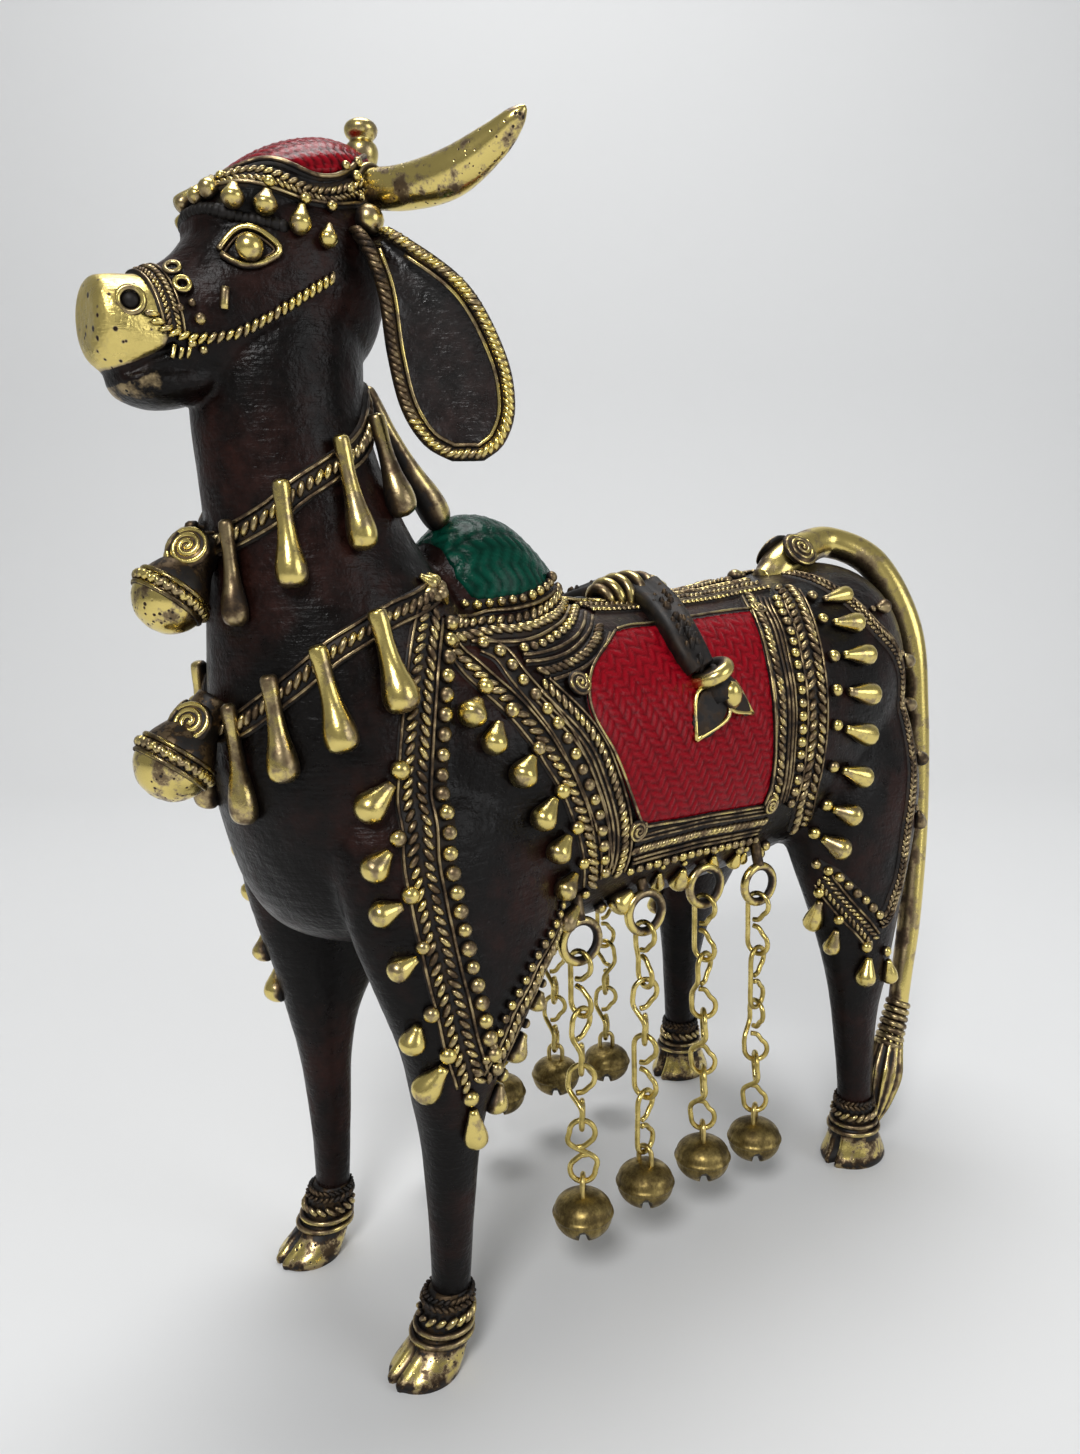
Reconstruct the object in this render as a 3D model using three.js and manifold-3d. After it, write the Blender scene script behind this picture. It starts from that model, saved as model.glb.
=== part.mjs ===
// Standing bull in cast brass, with a caparison, two necklaces and two throat bells, drooping ears,
// and eight wire chains that hang from cast rings and end in small round bells.
// Millimetres, +Z up, the head towards -X, the feet on z = 0, the origin below the middle.
import * as THREE from "three";
import { mergeVertices } from "three/addons/utils/BufferGeometryUtils.js";
import Module from "manifold-3d";

const wasm = await Module();
wasm.setup();

// Driving dimensions.
const HEIGHT = 280; // floor to the top of the knob on the cap
const CLEARANCE = 0.3; // between two pieces that hang in each other
const RING_CLEARANCE = 0.5; // above the bar of a cast ring
const RING_WIDTH = 12.6; // cast ring under the blanket, outside
const RING_THICKNESS = 2.4;
const WIRE = 1.4; // chain links
const EYE_WIDTH = 7.8; // one eye of a link, outside
const BELL_WIDTH = 15.6;
const BELL_RISE = 5.4; // the bell's top above its widest line
const BELL_DEPTH = 6.4; // the bell's bottom below its widest line
const BELL_WALL = 0.9;
const SLIT_WIDTH = 1.6;
const SLIT_DEPTH = 3.2;
const LOOP_WIRE = 1.4;
const LOOP_WIDTH = 5.6;
const LOOP_RISE = 5.2;
// Free height under the bells, from the front chain to the rear one.
const BELL_FLOOR_GAPS = [16.2, 16, 14.6, 12];

// The figure's proportions are in thousandths of its height.
const SHARE = HEIGHT / 1000;
const at = (x, y, z) => new THREE.Vector3(x, y, z).multiplyScalar(SHARE);

const BULL_FACETS = 5520; // facets kept on the casting
const SLIVER = 0.06; // facets thinner than this are merged

const X = new THREE.Vector3(1, 0, 0);
const Y = new THREE.Vector3(0, 1, 0);
const Z = new THREE.Vector3(0, 0, 1);

// A closed skin through rings of equally many points, capped at both ends.
function skin(rings) {
  const sides = rings[0].length;
  const position = [];
  const index = [];
  for (const ring of rings) for (const p of ring) position.push(p.x, p.y, p.z);
  for (const ring of [rings[0], rings[rings.length - 1]]) {
    const middle = ring.reduce((sum, p) => sum.add(p), new THREE.Vector3()).divideScalar(sides);
    position.push(middle.x, middle.y, middle.z);
  }
  for (let r = 0; r + 1 < rings.length; r++) {
    for (let s = 0; s < sides; s++) {
      const a = r * sides + s;
      const b = r * sides + ((s + 1) % sides);
      index.push(a, b, b + sides, a, b + sides, a + sides);
    }
  }
  const first = rings.length * sides;
  const last = (rings.length - 1) * sides;
  for (let s = 0; s < sides; s++) {
    const next = (s + 1) % sides;
    index.push(first, next, s, first + 1, last + s, last + next);
  }
  return geometryOf(position, index);
}

// A ring-shaped skin whose last section joins the first.
function loopSkin(rings) {
  const sides = rings[0].length;
  const position = rings.flatMap((ring) => ring.flatMap((p) => [p.x, p.y, p.z]));
  const index = [];
  rings.forEach((_, r) => {
    const here = r * sides;
    const there = ((r + 1) % rings.length) * sides;
    for (let s = 0; s < sides; s++) {
      const next = (s + 1) % sides;
      index.push(here + s, here + next, there + next, here + s, there + next, there + s);
    }
  });
  return geometryOf(position, index);
}

function geometryOf(position, index) {
  const geometry = new THREE.BufferGeometry();
  geometry.setAttribute("position", new THREE.Float32BufferAttribute(position, 3));
  geometry.setIndex(index);
  return geometry;
}

// The solid inside a closed geometry, turned to face out.
function solid(geometry) {
  const bare = geometry.index ? geometry.toNonIndexed() : geometry.clone();
  for (const name of Object.keys(bare.attributes)) {
    if (name !== "position") bare.deleteAttribute(name);
  }
  const merged = mergeVertices(bare, 1e-4);
  const triangles = new Uint32Array(merged.index.array);
  const make = () =>
    new wasm.Manifold(
      new wasm.Mesh({
        numProp: 3,
        vertProperties: merged.attributes.position.array,
        triVerts: triangles,
      }),
    );
  const made = make();
  if (made.volume() >= 0) return made;
  for (let i = 0; i < triangles.length; i += 3) {
    [triangles[i + 1], triangles[i + 2]] = [triangles[i + 2], triangles[i + 1]];
  }
  return make();
}

function geometryFrom(shape) {
  const mesh = shape.getMesh();
  return geometryOf(Array.from(mesh.vertProperties), Array.from(mesh.triVerts));
}

// The same form with fewer facets: corners that add least are drawn onto a neighbour, flattest first.
function lighten(shape, goal) {
  const mesh = shape.getMesh();
  const corners = [];
  for (let i = 0; i < mesh.vertProperties.length; i += 3) {
    corners.push(new THREE.Vector3().fromArray(mesh.vertProperties, i));
  }
  const faces = [];
  for (let i = 0; i < mesh.triVerts.length; i += 3) faces.push(Array.from(mesh.triVerts.slice(i, i + 3)));
  const facesOf = corners.map(() => new Set());
  const planes = corners.map(() => new Float64Array(10));
  const [u, v] = [new THREE.Vector3(), new THREE.Vector3()];
  const squareTo = (a, b, c) => u.subVectors(b, a).cross(v.subVectors(c, a)).clone();
  faces.forEach((face, f) => {
    const n = squareTo(...face.map((i) => corners[i]));
    const area = n.length() / 2;
    n.normalize();
    const d = -n.dot(corners[face[0]]);
    const terms = [n.x, n.y, n.z, d];
    for (const i of face) {
      facesOf[i].add(f);
      let k = 0;
      for (let r = 0; r < 4; r++) for (let c = r; c < 4; c++) planes[i][k++] += area * terms[r] * terms[c];
    }
  });
  const neighbours = (i) => {
    const found = new Set();
    for (const f of facesOf[i]) for (const j of faces[f]) if (j !== i) found.add(j);
    return found;
  };
  const misfit = (i, j) => {
    const p = [corners[j].x, corners[j].y, corners[j].z, 1];
    let sum = 0;
    let k = 0;
    for (let r = 0; r < 4; r++) {
      for (let c = r; c < 4; c++) {
        sum += (r === c ? 1 : 2) * (planes[i][k] + planes[j][k]) * p[r] * p[c];
        k++;
      }
    }
    return Math.max(sum, 0) + 1e-4 * corners[i].distanceToSquared(corners[j]);
  };
  const allowed = (i, j) => {
    const near = neighbours(j);
    let shared = 0;
    for (const k of neighbours(i)) if (near.has(k)) shared++;
    if (shared !== 2) return false;
    for (const f of facesOf[i]) {
      if (faces[f].includes(j)) continue;
      const before = squareTo(...faces[f].map((k) => corners[k]));
      const after = squareTo(...faces[f].map((k) => corners[k === i ? j : k]));
      const kept = faces[f].map((k) => corners[k === i ? j : k]);
      const longest = Math.max(kept[0].distanceTo(kept[1]), kept[1].distanceTo(kept[2]), kept[2].distanceTo(kept[0]));
      if (after.length() < 0.04 * longest * longest && after.length() < before.length()) return false;
      if (before.normalize().dot(after.normalize()) < 0.35) return false;
    }
    return true;
  };
  let left = faces.length;
  let limit = 1e-4;
  while (left > goal && limit < 50) {
    const wanted = [];
    facesOf.forEach((own, i) => {
      if (!own.size) return;
      for (const j of neighbours(i)) {
        const cost = misfit(i, j);
        if (cost < limit) wanted.push([cost, i, j]);
      }
    });
    wanted.sort((a, b) => a[0] - b[0]);
    const touched = new Set();
    for (const [, i, j] of wanted) {
      if (left <= goal) break;
      if (touched.has(i) || touched.has(j) || !facesOf[i].size || !facesOf[j].size || !allowed(i, j)) continue;
      for (const k of neighbours(i)) touched.add(k);
      for (const f of [...facesOf[i]]) {
        if (faces[f].includes(j)) {
          for (const k of faces[f]) facesOf[k].delete(f);
          left--;
        } else {
          faces[f] = faces[f].map((k) => (k === i ? j : k));
          facesOf[j].add(f);
        }
      }
      facesOf[i].clear();
      planes[i].forEach((value, k) => (planes[j][k] += value));
    }
    if (touched.size < 12) limit *= 1.6;
  }
  const renamed = new Map();
  const position = [];
  const index = [];
  const alive = new Set(facesOf.flatMap((own) => [...own]));
  for (const f of alive) {
    for (const i of faces[f]) {
      if (!renamed.has(i)) {
        renamed.set(i, renamed.size);
        position.push(...corners[i].toArray());
      }
      index.push(renamed.get(i));
    }
  }
  return geometryOf(position, index);
}

const joined = (shapes) => shapes.reduce((whole, shape) => whole.add(shape));
const pair = (shape) => [shape, shape.mirror([0, 1, 0])];

// An oval ring in the plane of two unit directions.
function oval(centre, across, along, halfAcross, halfAlong, sides, fullness = 2) {
  const bulge = (v) => Math.sign(v) * Math.abs(v) ** (2 / fullness);
  return Array.from({ length: sides }, (_, i) => {
    const turn = (2 * Math.PI * (i + 0.5)) / sides;
    return centre
      .clone()
      .addScaledVector(across, halfAcross * bulge(Math.cos(turn)))
      .addScaledVector(along, halfAlong * bulge(Math.sin(turn)));
  });
}

// Upright form: rows of [z, x, y, half length along X, half width along Y].
const upright = (rows, sides) =>
  skin(rows.map(([z, x, y, a, b]) => oval(at(x, y, z), X, Y, a * SHARE, b * SHARE, sides)));

// Lying form: rows of [x, z, half width along Y, half height along Z].
const lying = (rows, sides, fullness) =>
  skin(rows.map(([x, z, b, h]) => oval(at(x, 0, z), Y, Z, b * SHARE, h * SHARE, sides, fullness)));

// Sections along a run of points, each kept square to the run.
function sectionsAlong(points, closed, sectionAt) {
  const count = points.length;
  const across = new THREE.Vector3();
  return points.map((point, i) => {
    const before = closed ? points[(i + count - 1) % count] : points[Math.max(i - 1, 0)];
    const after = closed ? points[(i + 1) % count] : points[Math.min(i + 1, count - 1)];
    const way = after.clone().sub(before).normalize();
    if (i === 0) across.copy(Math.abs(way.z) < 0.9 ? Z : X);
    across.addScaledVector(way, -across.dot(way)).normalize();
    return sectionAt(point, across.clone(), way.clone().cross(across), i);
  });
}

// Rod along points, with its own radius at each.
const rod = (points, radii, sides) =>
  skin(sectionsAlong(points, false, (p, across, along, i) => oval(p, across, along, radii[i], radii[i], sides)));

// Closed ring of wire along points.
const hoop = (points, radius, sides) =>
  loopSkin(sectionsAlong(points, true, (p, across, along) => oval(p, across, along, radius, radius, sides)));

// The body.
const neck = [
  [350, -232, 0, 38, 46],
  [368, -244, 0, 78, 76],
  [400, -250, 0, 98, 98],
  [446, -253, 0, 110, 110],
  [500, -253, 0, 120, 114],
  [564, -257, 0, 116, 105],
  [629, -269, 0, 102, 88],
  [679, -286, 0, 83, 73],
  [725, -299, 0, 73, 64],
  [771, -308, 0, 68, 58],
  [814, -308, 0, 67, 56],
  [857, -300, 0, 62, 52],
];
const trunk = [
  [-286, 482, 93, 105],
  [-214, 482, 121, 140],
  [-125, 475, 133, 150],
  [0, 471, 136, 146],
  [125, 475, 136, 144],
  [214, 486, 140, 143],
  [286, 500, 136, 139],
  [339, 511, 117, 127],
  [379, 518, 85, 98],
  [404, 521, 43, 52],
];
const hump = [
  [-196, 618, 20, 30],
  [-178, 622, 42, 56],
  [-148, 627, 56, 70],
  [-112, 626, 58, 68],
  [-78, 616, 48, 54],
  [-52, 604, 32, 40],
];
const head = [
  [-449, 832, 20, 20],
  [-444, 831, 30, 29],
  [-430, 828, 34, 35],
  [-412, 826, 35, 40],
  [-386, 832, 38, 50],
  [-360, 850, 47, 64],
  [-329, 866, 54, 78],
  [-296, 876, 56, 84],
  [-262, 880, 52, 80],
  [-238, 884, 42, 66],
  [-224, 886, 24, 42],
];
const chin = [
  [-436, 799, 12, 9],
  [-428, 795, 25, 15],
  [-408, 791, 30, 17],
  [-380, 792, 32, 19],
  [-345, 796, 30, 20],
];
const cap = [
  [-376, 903, 16, 10],
  [-358, 915, 38, 24],
  [-320, 930, 47, 34],
  [-280, 938, 47, 37],
  [-248, 941, 40, 33],
  [-226, 942, 26, 22],
];
const hindLeg = [
  [536, 300, -50, 86, 57],
  [429, 296, -79, 93, 64],
  [357, 289, -96, 82, 52],
  [279, 281, -114, 59, 36],
  [214, 273, -125, 37, 28],
  [161, 270, -129, 26, 22],
  [89, 271, -132, 22, 20],
  [72, 272, -132, 26, 24],
  [58, 272, -132, 24, 22],
  [25, 273, -132, 33, 29],
  [0, 272, -132, 40, 33],
];
const foreLeg = [
  [464, -222, -79, 104, 50],
  [393, -220, -93, 100, 45],
  [339, -219, -104, 82, 39],
  [286, -227, -111, 52, 34],
  [243, -238, -111, 31, 29],
  [196, -242, -109, 22, 22],
  [125, -243, -107, 18, 18],
  [75, -244, -105, 17, 17],
  [62, -245, -105, 22, 21],
  [50, -249, -105, 21, 20],
  [20, -264, -105, 31, 28],
  [0, -274, -105, 35, 30],
];
const hornPath = [
  at(-242, -35, 938), at(-228, -62, 936), at(-210, -95, 943), at(-194, -124, 959), at(-184, -146, 976),
];
const hornRadii = [18, 19, 18, 14, 6].map((r) => r * SHARE);
const tailPath = [
  at(282, 0, 632), at(320, 0, 660), at(370, -4, 668), at(405, -28, 640), at(420, -62, 570), at(422, -88, 480),
  at(414, -108, 360), at(400, -120, 250), at(375, -128, 165), at(340, -134, 90), at(312, -140, 50),
];
const tailRadii = [20, 20, 16, 16, 15, 13, 12, 11, 13, 13, 8].map((r) => r * SHARE);

// A hollowed leaf with a raised rim: rows of [x, y, z, half width].
const earRows = [
  [-252, -38, 908, 12],
  [-256, -68, 897, 13],
  [-234, -90, 862, 31],
  [-220, -98, 815, 42],
  [-213, -101, 778, 41],
  [-210, -103, 754, 29],
  [-208, -104, 743, 12],
];
const earAcross = new THREE.Vector3(0.83, -0.56, 0).normalize();
const earFace = new THREE.Vector3(-0.56, -0.83, 0).normalize();
const earSection = [[-1, 1], [-0.75, 0.6], [0, -1.1], [0.75, 0.6], [1, 1], [1, -1], [0.4, -2.6], [-0.4, -2.6], [-1, -1]];
const earRim = 5 * SHARE;
const ear = () =>
  skin(
    earRows.map(([x, y, z, half]) =>
      earSection.map(([s, d]) =>
        at(x, y, z).addScaledVector(earAcross, s * half * SHARE).addScaledVector(earFace, d * earRim),
      ),
    ),
  );

const forms = (sides) => ({
  neck: solid(upright(neck, sides + 2)),
  trunk: solid(lying(trunk, sides + 4, 2.3)),
  hump: solid(lying(hump, sides)),
  head: solid(lying(head, sides + 1)),
  chin: solid(lying(chin, sides - 1)),
  cap: solid(lying(cap, sides)),
});
const legs = [...pair(solid(upright(hindLeg, 7))), ...pair(solid(upright(foreLeg, 7)))];
const hide = joined([...Object.values(forms(8)), ...legs]);

// Where a line from outside first meets the smooth form behind the facets.
const caster = new THREE.Raycaster();
const target = (shape) => {
  const mesh = new THREE.Mesh(geometryFrom(shape), new THREE.MeshBasicMaterial({ side: THREE.DoubleSide }));
  mesh.updateMatrixWorld(true);
  return mesh;
};
const smooth = forms(32);
const smoothLegs = [solid(upright(hindLeg, 24)), solid(upright(foreLeg, 24))];
const hideTarget = target(joined([...Object.values(smooth), ...smoothLegs]));
const neckTarget = target(smooth.neck);
function meet(onto, from, way) {
  caster.set(from, way);
  const found = caster.intersectObject(onto)[0];
  return found ? found.point.clone() : null;
}
// The hide's left flank at a place seen from the side, and the way it faces there.
const flank = (x, z) => meet(hideTarget, at(x, -500, z), Y) ?? at(x, -60, z);
function flankFacing(x, z) {
  const step = 12;
  const slopeX = flank(x + step, z).y - flank(x - step, z).y;
  const slopeZ = flank(x, z + step).y - flank(x, z - step).y;
  const reach = 2 * step * SHARE;
  const limit = (slope) => THREE.MathUtils.clamp(slope / reach, -1.5, 1.5);
  return new THREE.Vector3(limit(slopeX), -1, limit(slopeZ)).normalize();
}

// A raised cord on the flank along places given as [x, z].
function cord(places, width, rise, steps) {
  const run = new THREE.CatmullRomCurve3(places.map(([x, z]) => new THREE.Vector3(x, 0, z)));
  const spots = run.getSpacedPoints(steps);
  const points = spots.map((s) => flank(s.x, s.z));
  const section = [[-0.5, -6], [0, rise], [0.5, -6]];
  const rings = points.map((point, i) => {
    const way = points[Math.min(i + 1, steps)].clone().sub(points[Math.max(i - 1, 0)]).normalize();
    const out = flankFacing(spots[i].x, spots[i].z);
    const across = way.clone().cross(out).normalize();
    return section.map(([s, d]) =>
      point.clone().addScaledVector(across, s * width * SHARE).addScaledVector(out, d * SHARE),
    );
  });
  return solid(skin(rings));
}

// A plate of the caparison between two edges that run downwards. Its borders stand above its field:
// widths of the front, rear, top and lower borders, and the number of rows.
const BORDER_RISE = 6;
const FIELD_RISE = 2.4;
function plate({ front, rear, borders, rows }) {
  const edge = (places) => new THREE.CatmullRomCurve3(places.map(([x, z]) => new THREE.Vector3(x, 0, z)));
  const [frontEdge, rearEdge] = [edge(front), edge(rear)];
  const height = frontEdge.getLength();
  const rowCuts = cuts(height, borders.top, borders.lower, rows);
  const grid = rowCuts.map(({ where, border: rowBorder }) => {
    const a = frontEdge.getPointAt(where);
    const b = rearEdge.getPointAt(where);
    const width = a.distanceTo(b);
    return cuts(width, Math.min(borders.front, width * 0.4), Math.min(borders.rear, width * 0.3), borders.middle).map(
      ({ where: t, border }) => {
        const spot = a.clone().lerp(b, t);
        const rise = border || rowBorder ? BORDER_RISE : FIELD_RISE;
        return { point: flank(spot.x, spot.z), out: flankFacing(spot.x, spot.z), rise };
      },
    );
  });
  return solid(slab(grid));
}
// Where a span is cut: at its ends, at both sides of each border's foot, and evenly between.
function cuts(span, near, far, between) {
  const foot = 5;
  const list = [{ where: 0, border: near > 0 || far > 0 }];
  if (near > 0) list.push({ where: near / span, border: true });
  const start = near > 0 ? (near + foot) / span : 0;
  const end = far > 0 ? 1 - (far + foot) / span : 1;
  for (let i = near > 0 ? 0 : 1; i <= between; i++) {
    if (i === between && far <= 0) break;
    list.push({ where: start + ((end - start) * i) / between, border: false });
  }
  if (far > 0) list.push({ where: 1 - far / span, border: true });
  list.push({ where: 1, border: near > 0 || far > 0 });
  if (near <= 0) list[0].border = false;
  if (far <= 0) list[list.length - 1].border = false;
  return list;
}
// A closed slab from a grid of places on the hide, its back sunk in the hide.
function slab(grid) {
  const [rows, columns] = [grid.length, grid[0].length];
  const position = [];
  const index = [];
  for (const depth of [null, -9]) {
    for (const { point, out, rise } of grid.flat()) {
      const p = point.clone().addScaledVector(out, (depth ?? rise) * SHARE);
      position.push(p.x, p.y, p.z);
    }
  }
  const back = rows * columns;
  const id = (r, c) => r * columns + c;
  for (let r = 0; r + 1 < rows; r++) {
    for (let c = 0; c + 1 < columns; c++) {
      const [a, b, d, e] = [id(r, c), id(r, c + 1), id(r + 1, c + 1), id(r + 1, c)];
      index.push(a, b, d, a, d, e, back + a, back + d, back + b, back + a, back + e, back + d);
    }
  }
  const rim = [];
  for (let c = 0; c + 1 < columns; c++) rim.push(id(0, c));
  for (let r = 0; r + 1 < rows; r++) rim.push(id(r, columns - 1));
  for (let c = columns - 1; c > 0; c--) rim.push(id(rows - 1, c));
  for (let r = rows - 1; r > 0; r--) rim.push(id(r, 0));
  rim.forEach((a, i) => {
    const b = rim[(i + 1) % rim.length];
    index.push(a, back + a, back + b, a, back + b, b);
  });
  return geometryOf(position, index);
}

const plates = [
  {
    front: [[-238, 618], [-254, 570], [-268, 518], [-270, 465], [-274, 415], [-266, 365], [-255, 315], [-246, 258]],
    rear: [[-190, 596], [-160, 548], [-132, 492], [-112, 430], [-116, 376], [-158, 340], [-206, 294], [-232, 254]],
    borders: { front: 36, rear: 14, top: 0, lower: 0, middle: 1 }, rows: 8,
  },
  {
    front: [[-192, 596], [-172, 570], [-150, 532], [-130, 490], [-114, 440], [-98, 374]],
    rear: [[224, 620], [202, 580], [190, 536], [186, 495], [188, 450], [212, 366]],
    borders: { front: 46, rear: 50, top: 14, lower: 34, middle: 3 }, rows: 3,
  },
  {
    front: [[226, 612], [206, 575], [194, 530], [188, 490], [190, 445], [200, 390], [214, 340], [262, 262]],
    rear: [[296, 606], [328, 560], [340, 510], [344, 455], [340, 400], [330, 345], [308, 290], [280, 256]],
    borders: { front: 0, rear: 14, top: 0, lower: 26, middle: 2 }, rows: 6,
  },
];
// The yoke's cords under the hump: [places, width, rise, steps].
const yoke = [
  [[[-214, 606], [-165, 602], [-125, 602], [-90, 608], [-62, 622]], 24, 6, 4],
  [[[-180, 584], [-140, 582], [-100, 588], [-68, 604], [-50, 620]], 20, 6, 4],
];
// Drops of the flap, the blanket and the rump, from thin end to thick end: [x, z, x, z, width].
const hangingDrops = [
  [-281, 516, -305, 480, 25], [-281, 472, -307, 434, 24], [-284, 425, -305, 401, 23], [-279, 385, -295, 354, 22],
  [-273, 328, -279, 288, 21], [-262, 293, -268, 252, 21], [-244, 252, -243, 210, 19], [-213, 266, -212, 232, 18],
  [-194, 568, -219, 536, 23], [-177, 550, -202, 512, 23], [-161, 518, -183, 480, 22], [-142, 482, -163, 451, 21],
  [-129, 450, -148, 414, 20], [-112, 414, -127, 376, 18],
  [236, 610, 308, 608, 17], [232, 588, 302, 582, 18], [222, 557, 288, 551, 19], [209, 526, 279, 513, 20],
  [208, 491, 278, 471, 20], [206, 449, 272, 423, 20], [218, 406, 258, 386, 19], [213, 377, 250, 344, 20],
  [236, 266, 238, 234, 18], [261, 256, 254, 214, 20], [285, 250, 288, 210, 18],
];
// A drop with its thin end at the first point, half sunk in the form behind it.
function drop(thin, thick, width, out) {
  const way = thick.clone().sub(thin);
  const length = way.length();
  way.normalize();
  const across = way.clone().cross(out).normalize();
  const lift = out.clone().addScaledVector(way, -out.dot(way)).normalize();
  const profile = [[0, 0.08], [0.4, 0.26], [0.72, 0.5], [0.92, 0.38], [1, 0.1]];
  return solid(
    skin(
      profile.map(([t, r]) =>
        oval(
          thin.clone().addScaledVector(way, t * length).addScaledVector(lift, r * width * 0.3),
          across, lift, r * width, r * width, 6,
        ),
      ),
    ),
  );
}
function flankDrop(x0, z0, x1, z1, width) {
  const out = flankFacing((x0 + x1) / 2, (z0 + z1) / 2);
  const lifted = (x, z) => flank(x, z).addScaledVector(out, 2 * SHARE);
  return drop(lifted(x0, z0), lifted(x1, z1), width * SHARE, out);
}

// A necklace: a tilted band round the neck, and long drops under it: [turn in half circles, length].
const necklaces = [
  { front: -361, low: 684, slope: 0.72, drops: [[0.97, 62], [0.75, 70], [0.5, 78], [0.24, 82], [0.06, 82]] },
  { front: -368, low: 546, slope: 0.68, drops: [[0.97, 60], [0.8, 70], [0.62, 72], [0.42, 68]] },
];
function aroundNeck(necklace, turn) {
  const middle = -285;
  const reach = 300;
  const way = new THREE.Vector3(Math.cos(turn), Math.sin(turn), 0);
  const height = (x) => necklace.low + necklace.slope * (x - necklace.front);
  const slant = new THREE.Vector3(way.x, way.y, necklace.slope * way.x);
  const from = at(middle, 0, height(middle)).addScaledVector(slant, reach * SHARE);
  return meet(neckTarget, from, slant.clone().negate().normalize());
}
function necklaceSolids(necklace) {
  const turns = Array.from({ length: 12 }, (_, i) => (2 * Math.PI * (i + 0.5)) / 12);
  const band = solid(hoop(turns.map((turn) => aroundNeck(necklace, turn)), 9 * SHARE, 3));
  const drops = necklace.drops.flatMap(([where, length]) => {
    const turn = -Math.PI * where;
    const top = aroundNeck(necklace, turn);
    const out = new THREE.Vector3(Math.cos(turn), Math.sin(turn), 0.1).normalize();
    const below = top.clone().addScaledVector(Z, -length * SHARE);
    const foot = meet(neckTarget, below.clone().addScaledVector(out, 200 * SHARE), out.clone().negate());
    const lift = out.clone().multiplyScalar(3 * SHARE);
    return pair(drop(top.add(lift), (foot ?? below).add(lift), 25 * SHARE, out));
  });
  return [band, ...drops];
}

// A throat bell: a globe on a short stalk, leaning forward and down.
function throatBell(x, z, radius) {
  const way = new THREE.Vector3(-0.62, 0, -0.78).normalize();
  const rise = way.clone().cross(Y);
  const profile = [[-2.1, 0.62], [-1.15, 0.66], [-0.5, 1], [0.12, 1.06], [0.62, 0.76], [0.95, 0.3]];
  const centre = at(x, 0, z);
  const globe = profile.map(([t, r]) =>
    oval(centre.clone().addScaledVector(way, t * radius * SHARE), Y, rise, r * radius * SHARE, r * radius * SHARE, 7),
  );
  return solid(skin(globe));
}
function disc(centre, out, radius, thickness, sides) {
  const across = Math.abs(out.z) < 0.9 ? Z.clone() : X.clone();
  across.addScaledVector(out, -across.dot(out)).normalize();
  const along = out.clone().cross(across);
  return solid(
    skin([
      oval(centre.clone().addScaledVector(out, -thickness), across, along, radius, radius, sides),
      oval(centre.clone(), across, along, radius, radius, sides),
      oval(centre.clone().addScaledVector(out, thickness * 0.6), across, along, radius * 0.45, radius * 0.45, sides),
    ]),
  );
}
const ball = (centre, radius, sides = 5) =>
  solid(skin([[-0.75, 0.55], [0, 1], [0.75, 0.55]].map(([t, r]) =>
    oval(centre.clone().addScaledVector(Z, t * radius), X, Y, r * radius, r * radius, sides))));

// Loops on the head: the cap's border and the noseband, and the rein along the jaw.
const around = (places) => {
  const left = places.map(([x, y, z]) => at(x, y, z));
  const right = places.filter(([, y]) => y !== 0).map(([x, y, z]) => at(x, -y, z)).reverse();
  return [...left, ...right];
};
const over = (places) => [
  ...places.map(([x, y, z]) => at(x, y, z)),
  ...places.slice(0, -1).reverse().map(([x, y, z]) => at(x, -y, z)),
];
const capBorder = [[-379, 0, 905], [-360, -34, 917], [-312, -50, 932], [-250, -45, 934], [-222, 0, 932]];
const noseband = [[-397, -36, 820], [-404, -39, 842], [-409, -25, 862], [-411, 0, 868]];
const rein = [[-416, 834], [-401, 822], [-374, 820], [-343, 832], [-314, 849], [-286, 868]];
const fringe = [[-368, 914], [-354, 914], [-334, 913], [-311, 904], [-291, 895], [-253, 912]];
const eyeSpot = [-348, 881];
const knob = [[945, 15], [966, 12], [984, 17], [1000, 5]];

function headSolids() {
  const eye = flank(...eyeSpot);
  const looking = flankFacing(...eyeSpot);
  return [
    solid(hoop(around(capBorder), 7 * SHARE, 3)),
    solid(rod(over(noseband), over(noseband).map(() => 5.5 * SHARE), 4)),
    ...pair(disc(eye, looking, 17 * SHARE, 3 * SHARE, 6)),
    ...pair(ball(eye.clone().addScaledVector(looking, 3 * SHARE), 9 * SHARE, 6)),
    ...pair(cord(rein, 10, 4, 4)),
    ...fringe.flatMap(([x, z]) => pair(flankDrop(x, z + 10, x + 1, z - 12, 20))),
    solid(rod(knob.map(([z]) => at(-229, 0, z)), knob.map(([, r]) => r * SHARE), 7)),
  ];
}
const nostril = pair(disc(at(-428, -32, 841), new THREE.Vector3(0, -1, 0), 7.5 * SHARE, 7 * SHARE, 5));

// The cord over the back with its knot, ring and three-petalled tassel.
function tasselSolids() {
  const base = flank(86, 560);
  const out = flankFacing(86, 556);
  const collar = base.clone().addScaledVector(out, 6 * SHARE);
  const petals = [[116, 550], [84, 522]].map(([x, z]) =>
    drop(collar, flank(x, z).addScaledVector(out, 9 * SHARE), 24 * SHARE, out),
  );
  return [cord([[16, 626], [42, 606], [62, 585], [80, 566]], 24, 9, 3), ball(collar, 15 * SHARE), ...petals];
}
const knotPath = [at(-26, 0, 606), at(8, 0, 614), at(44, 0, 610)];
const knot = () => solid(rod(knotPath, [20, 32, 20].map((r) => r * SHARE), 7));

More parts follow.
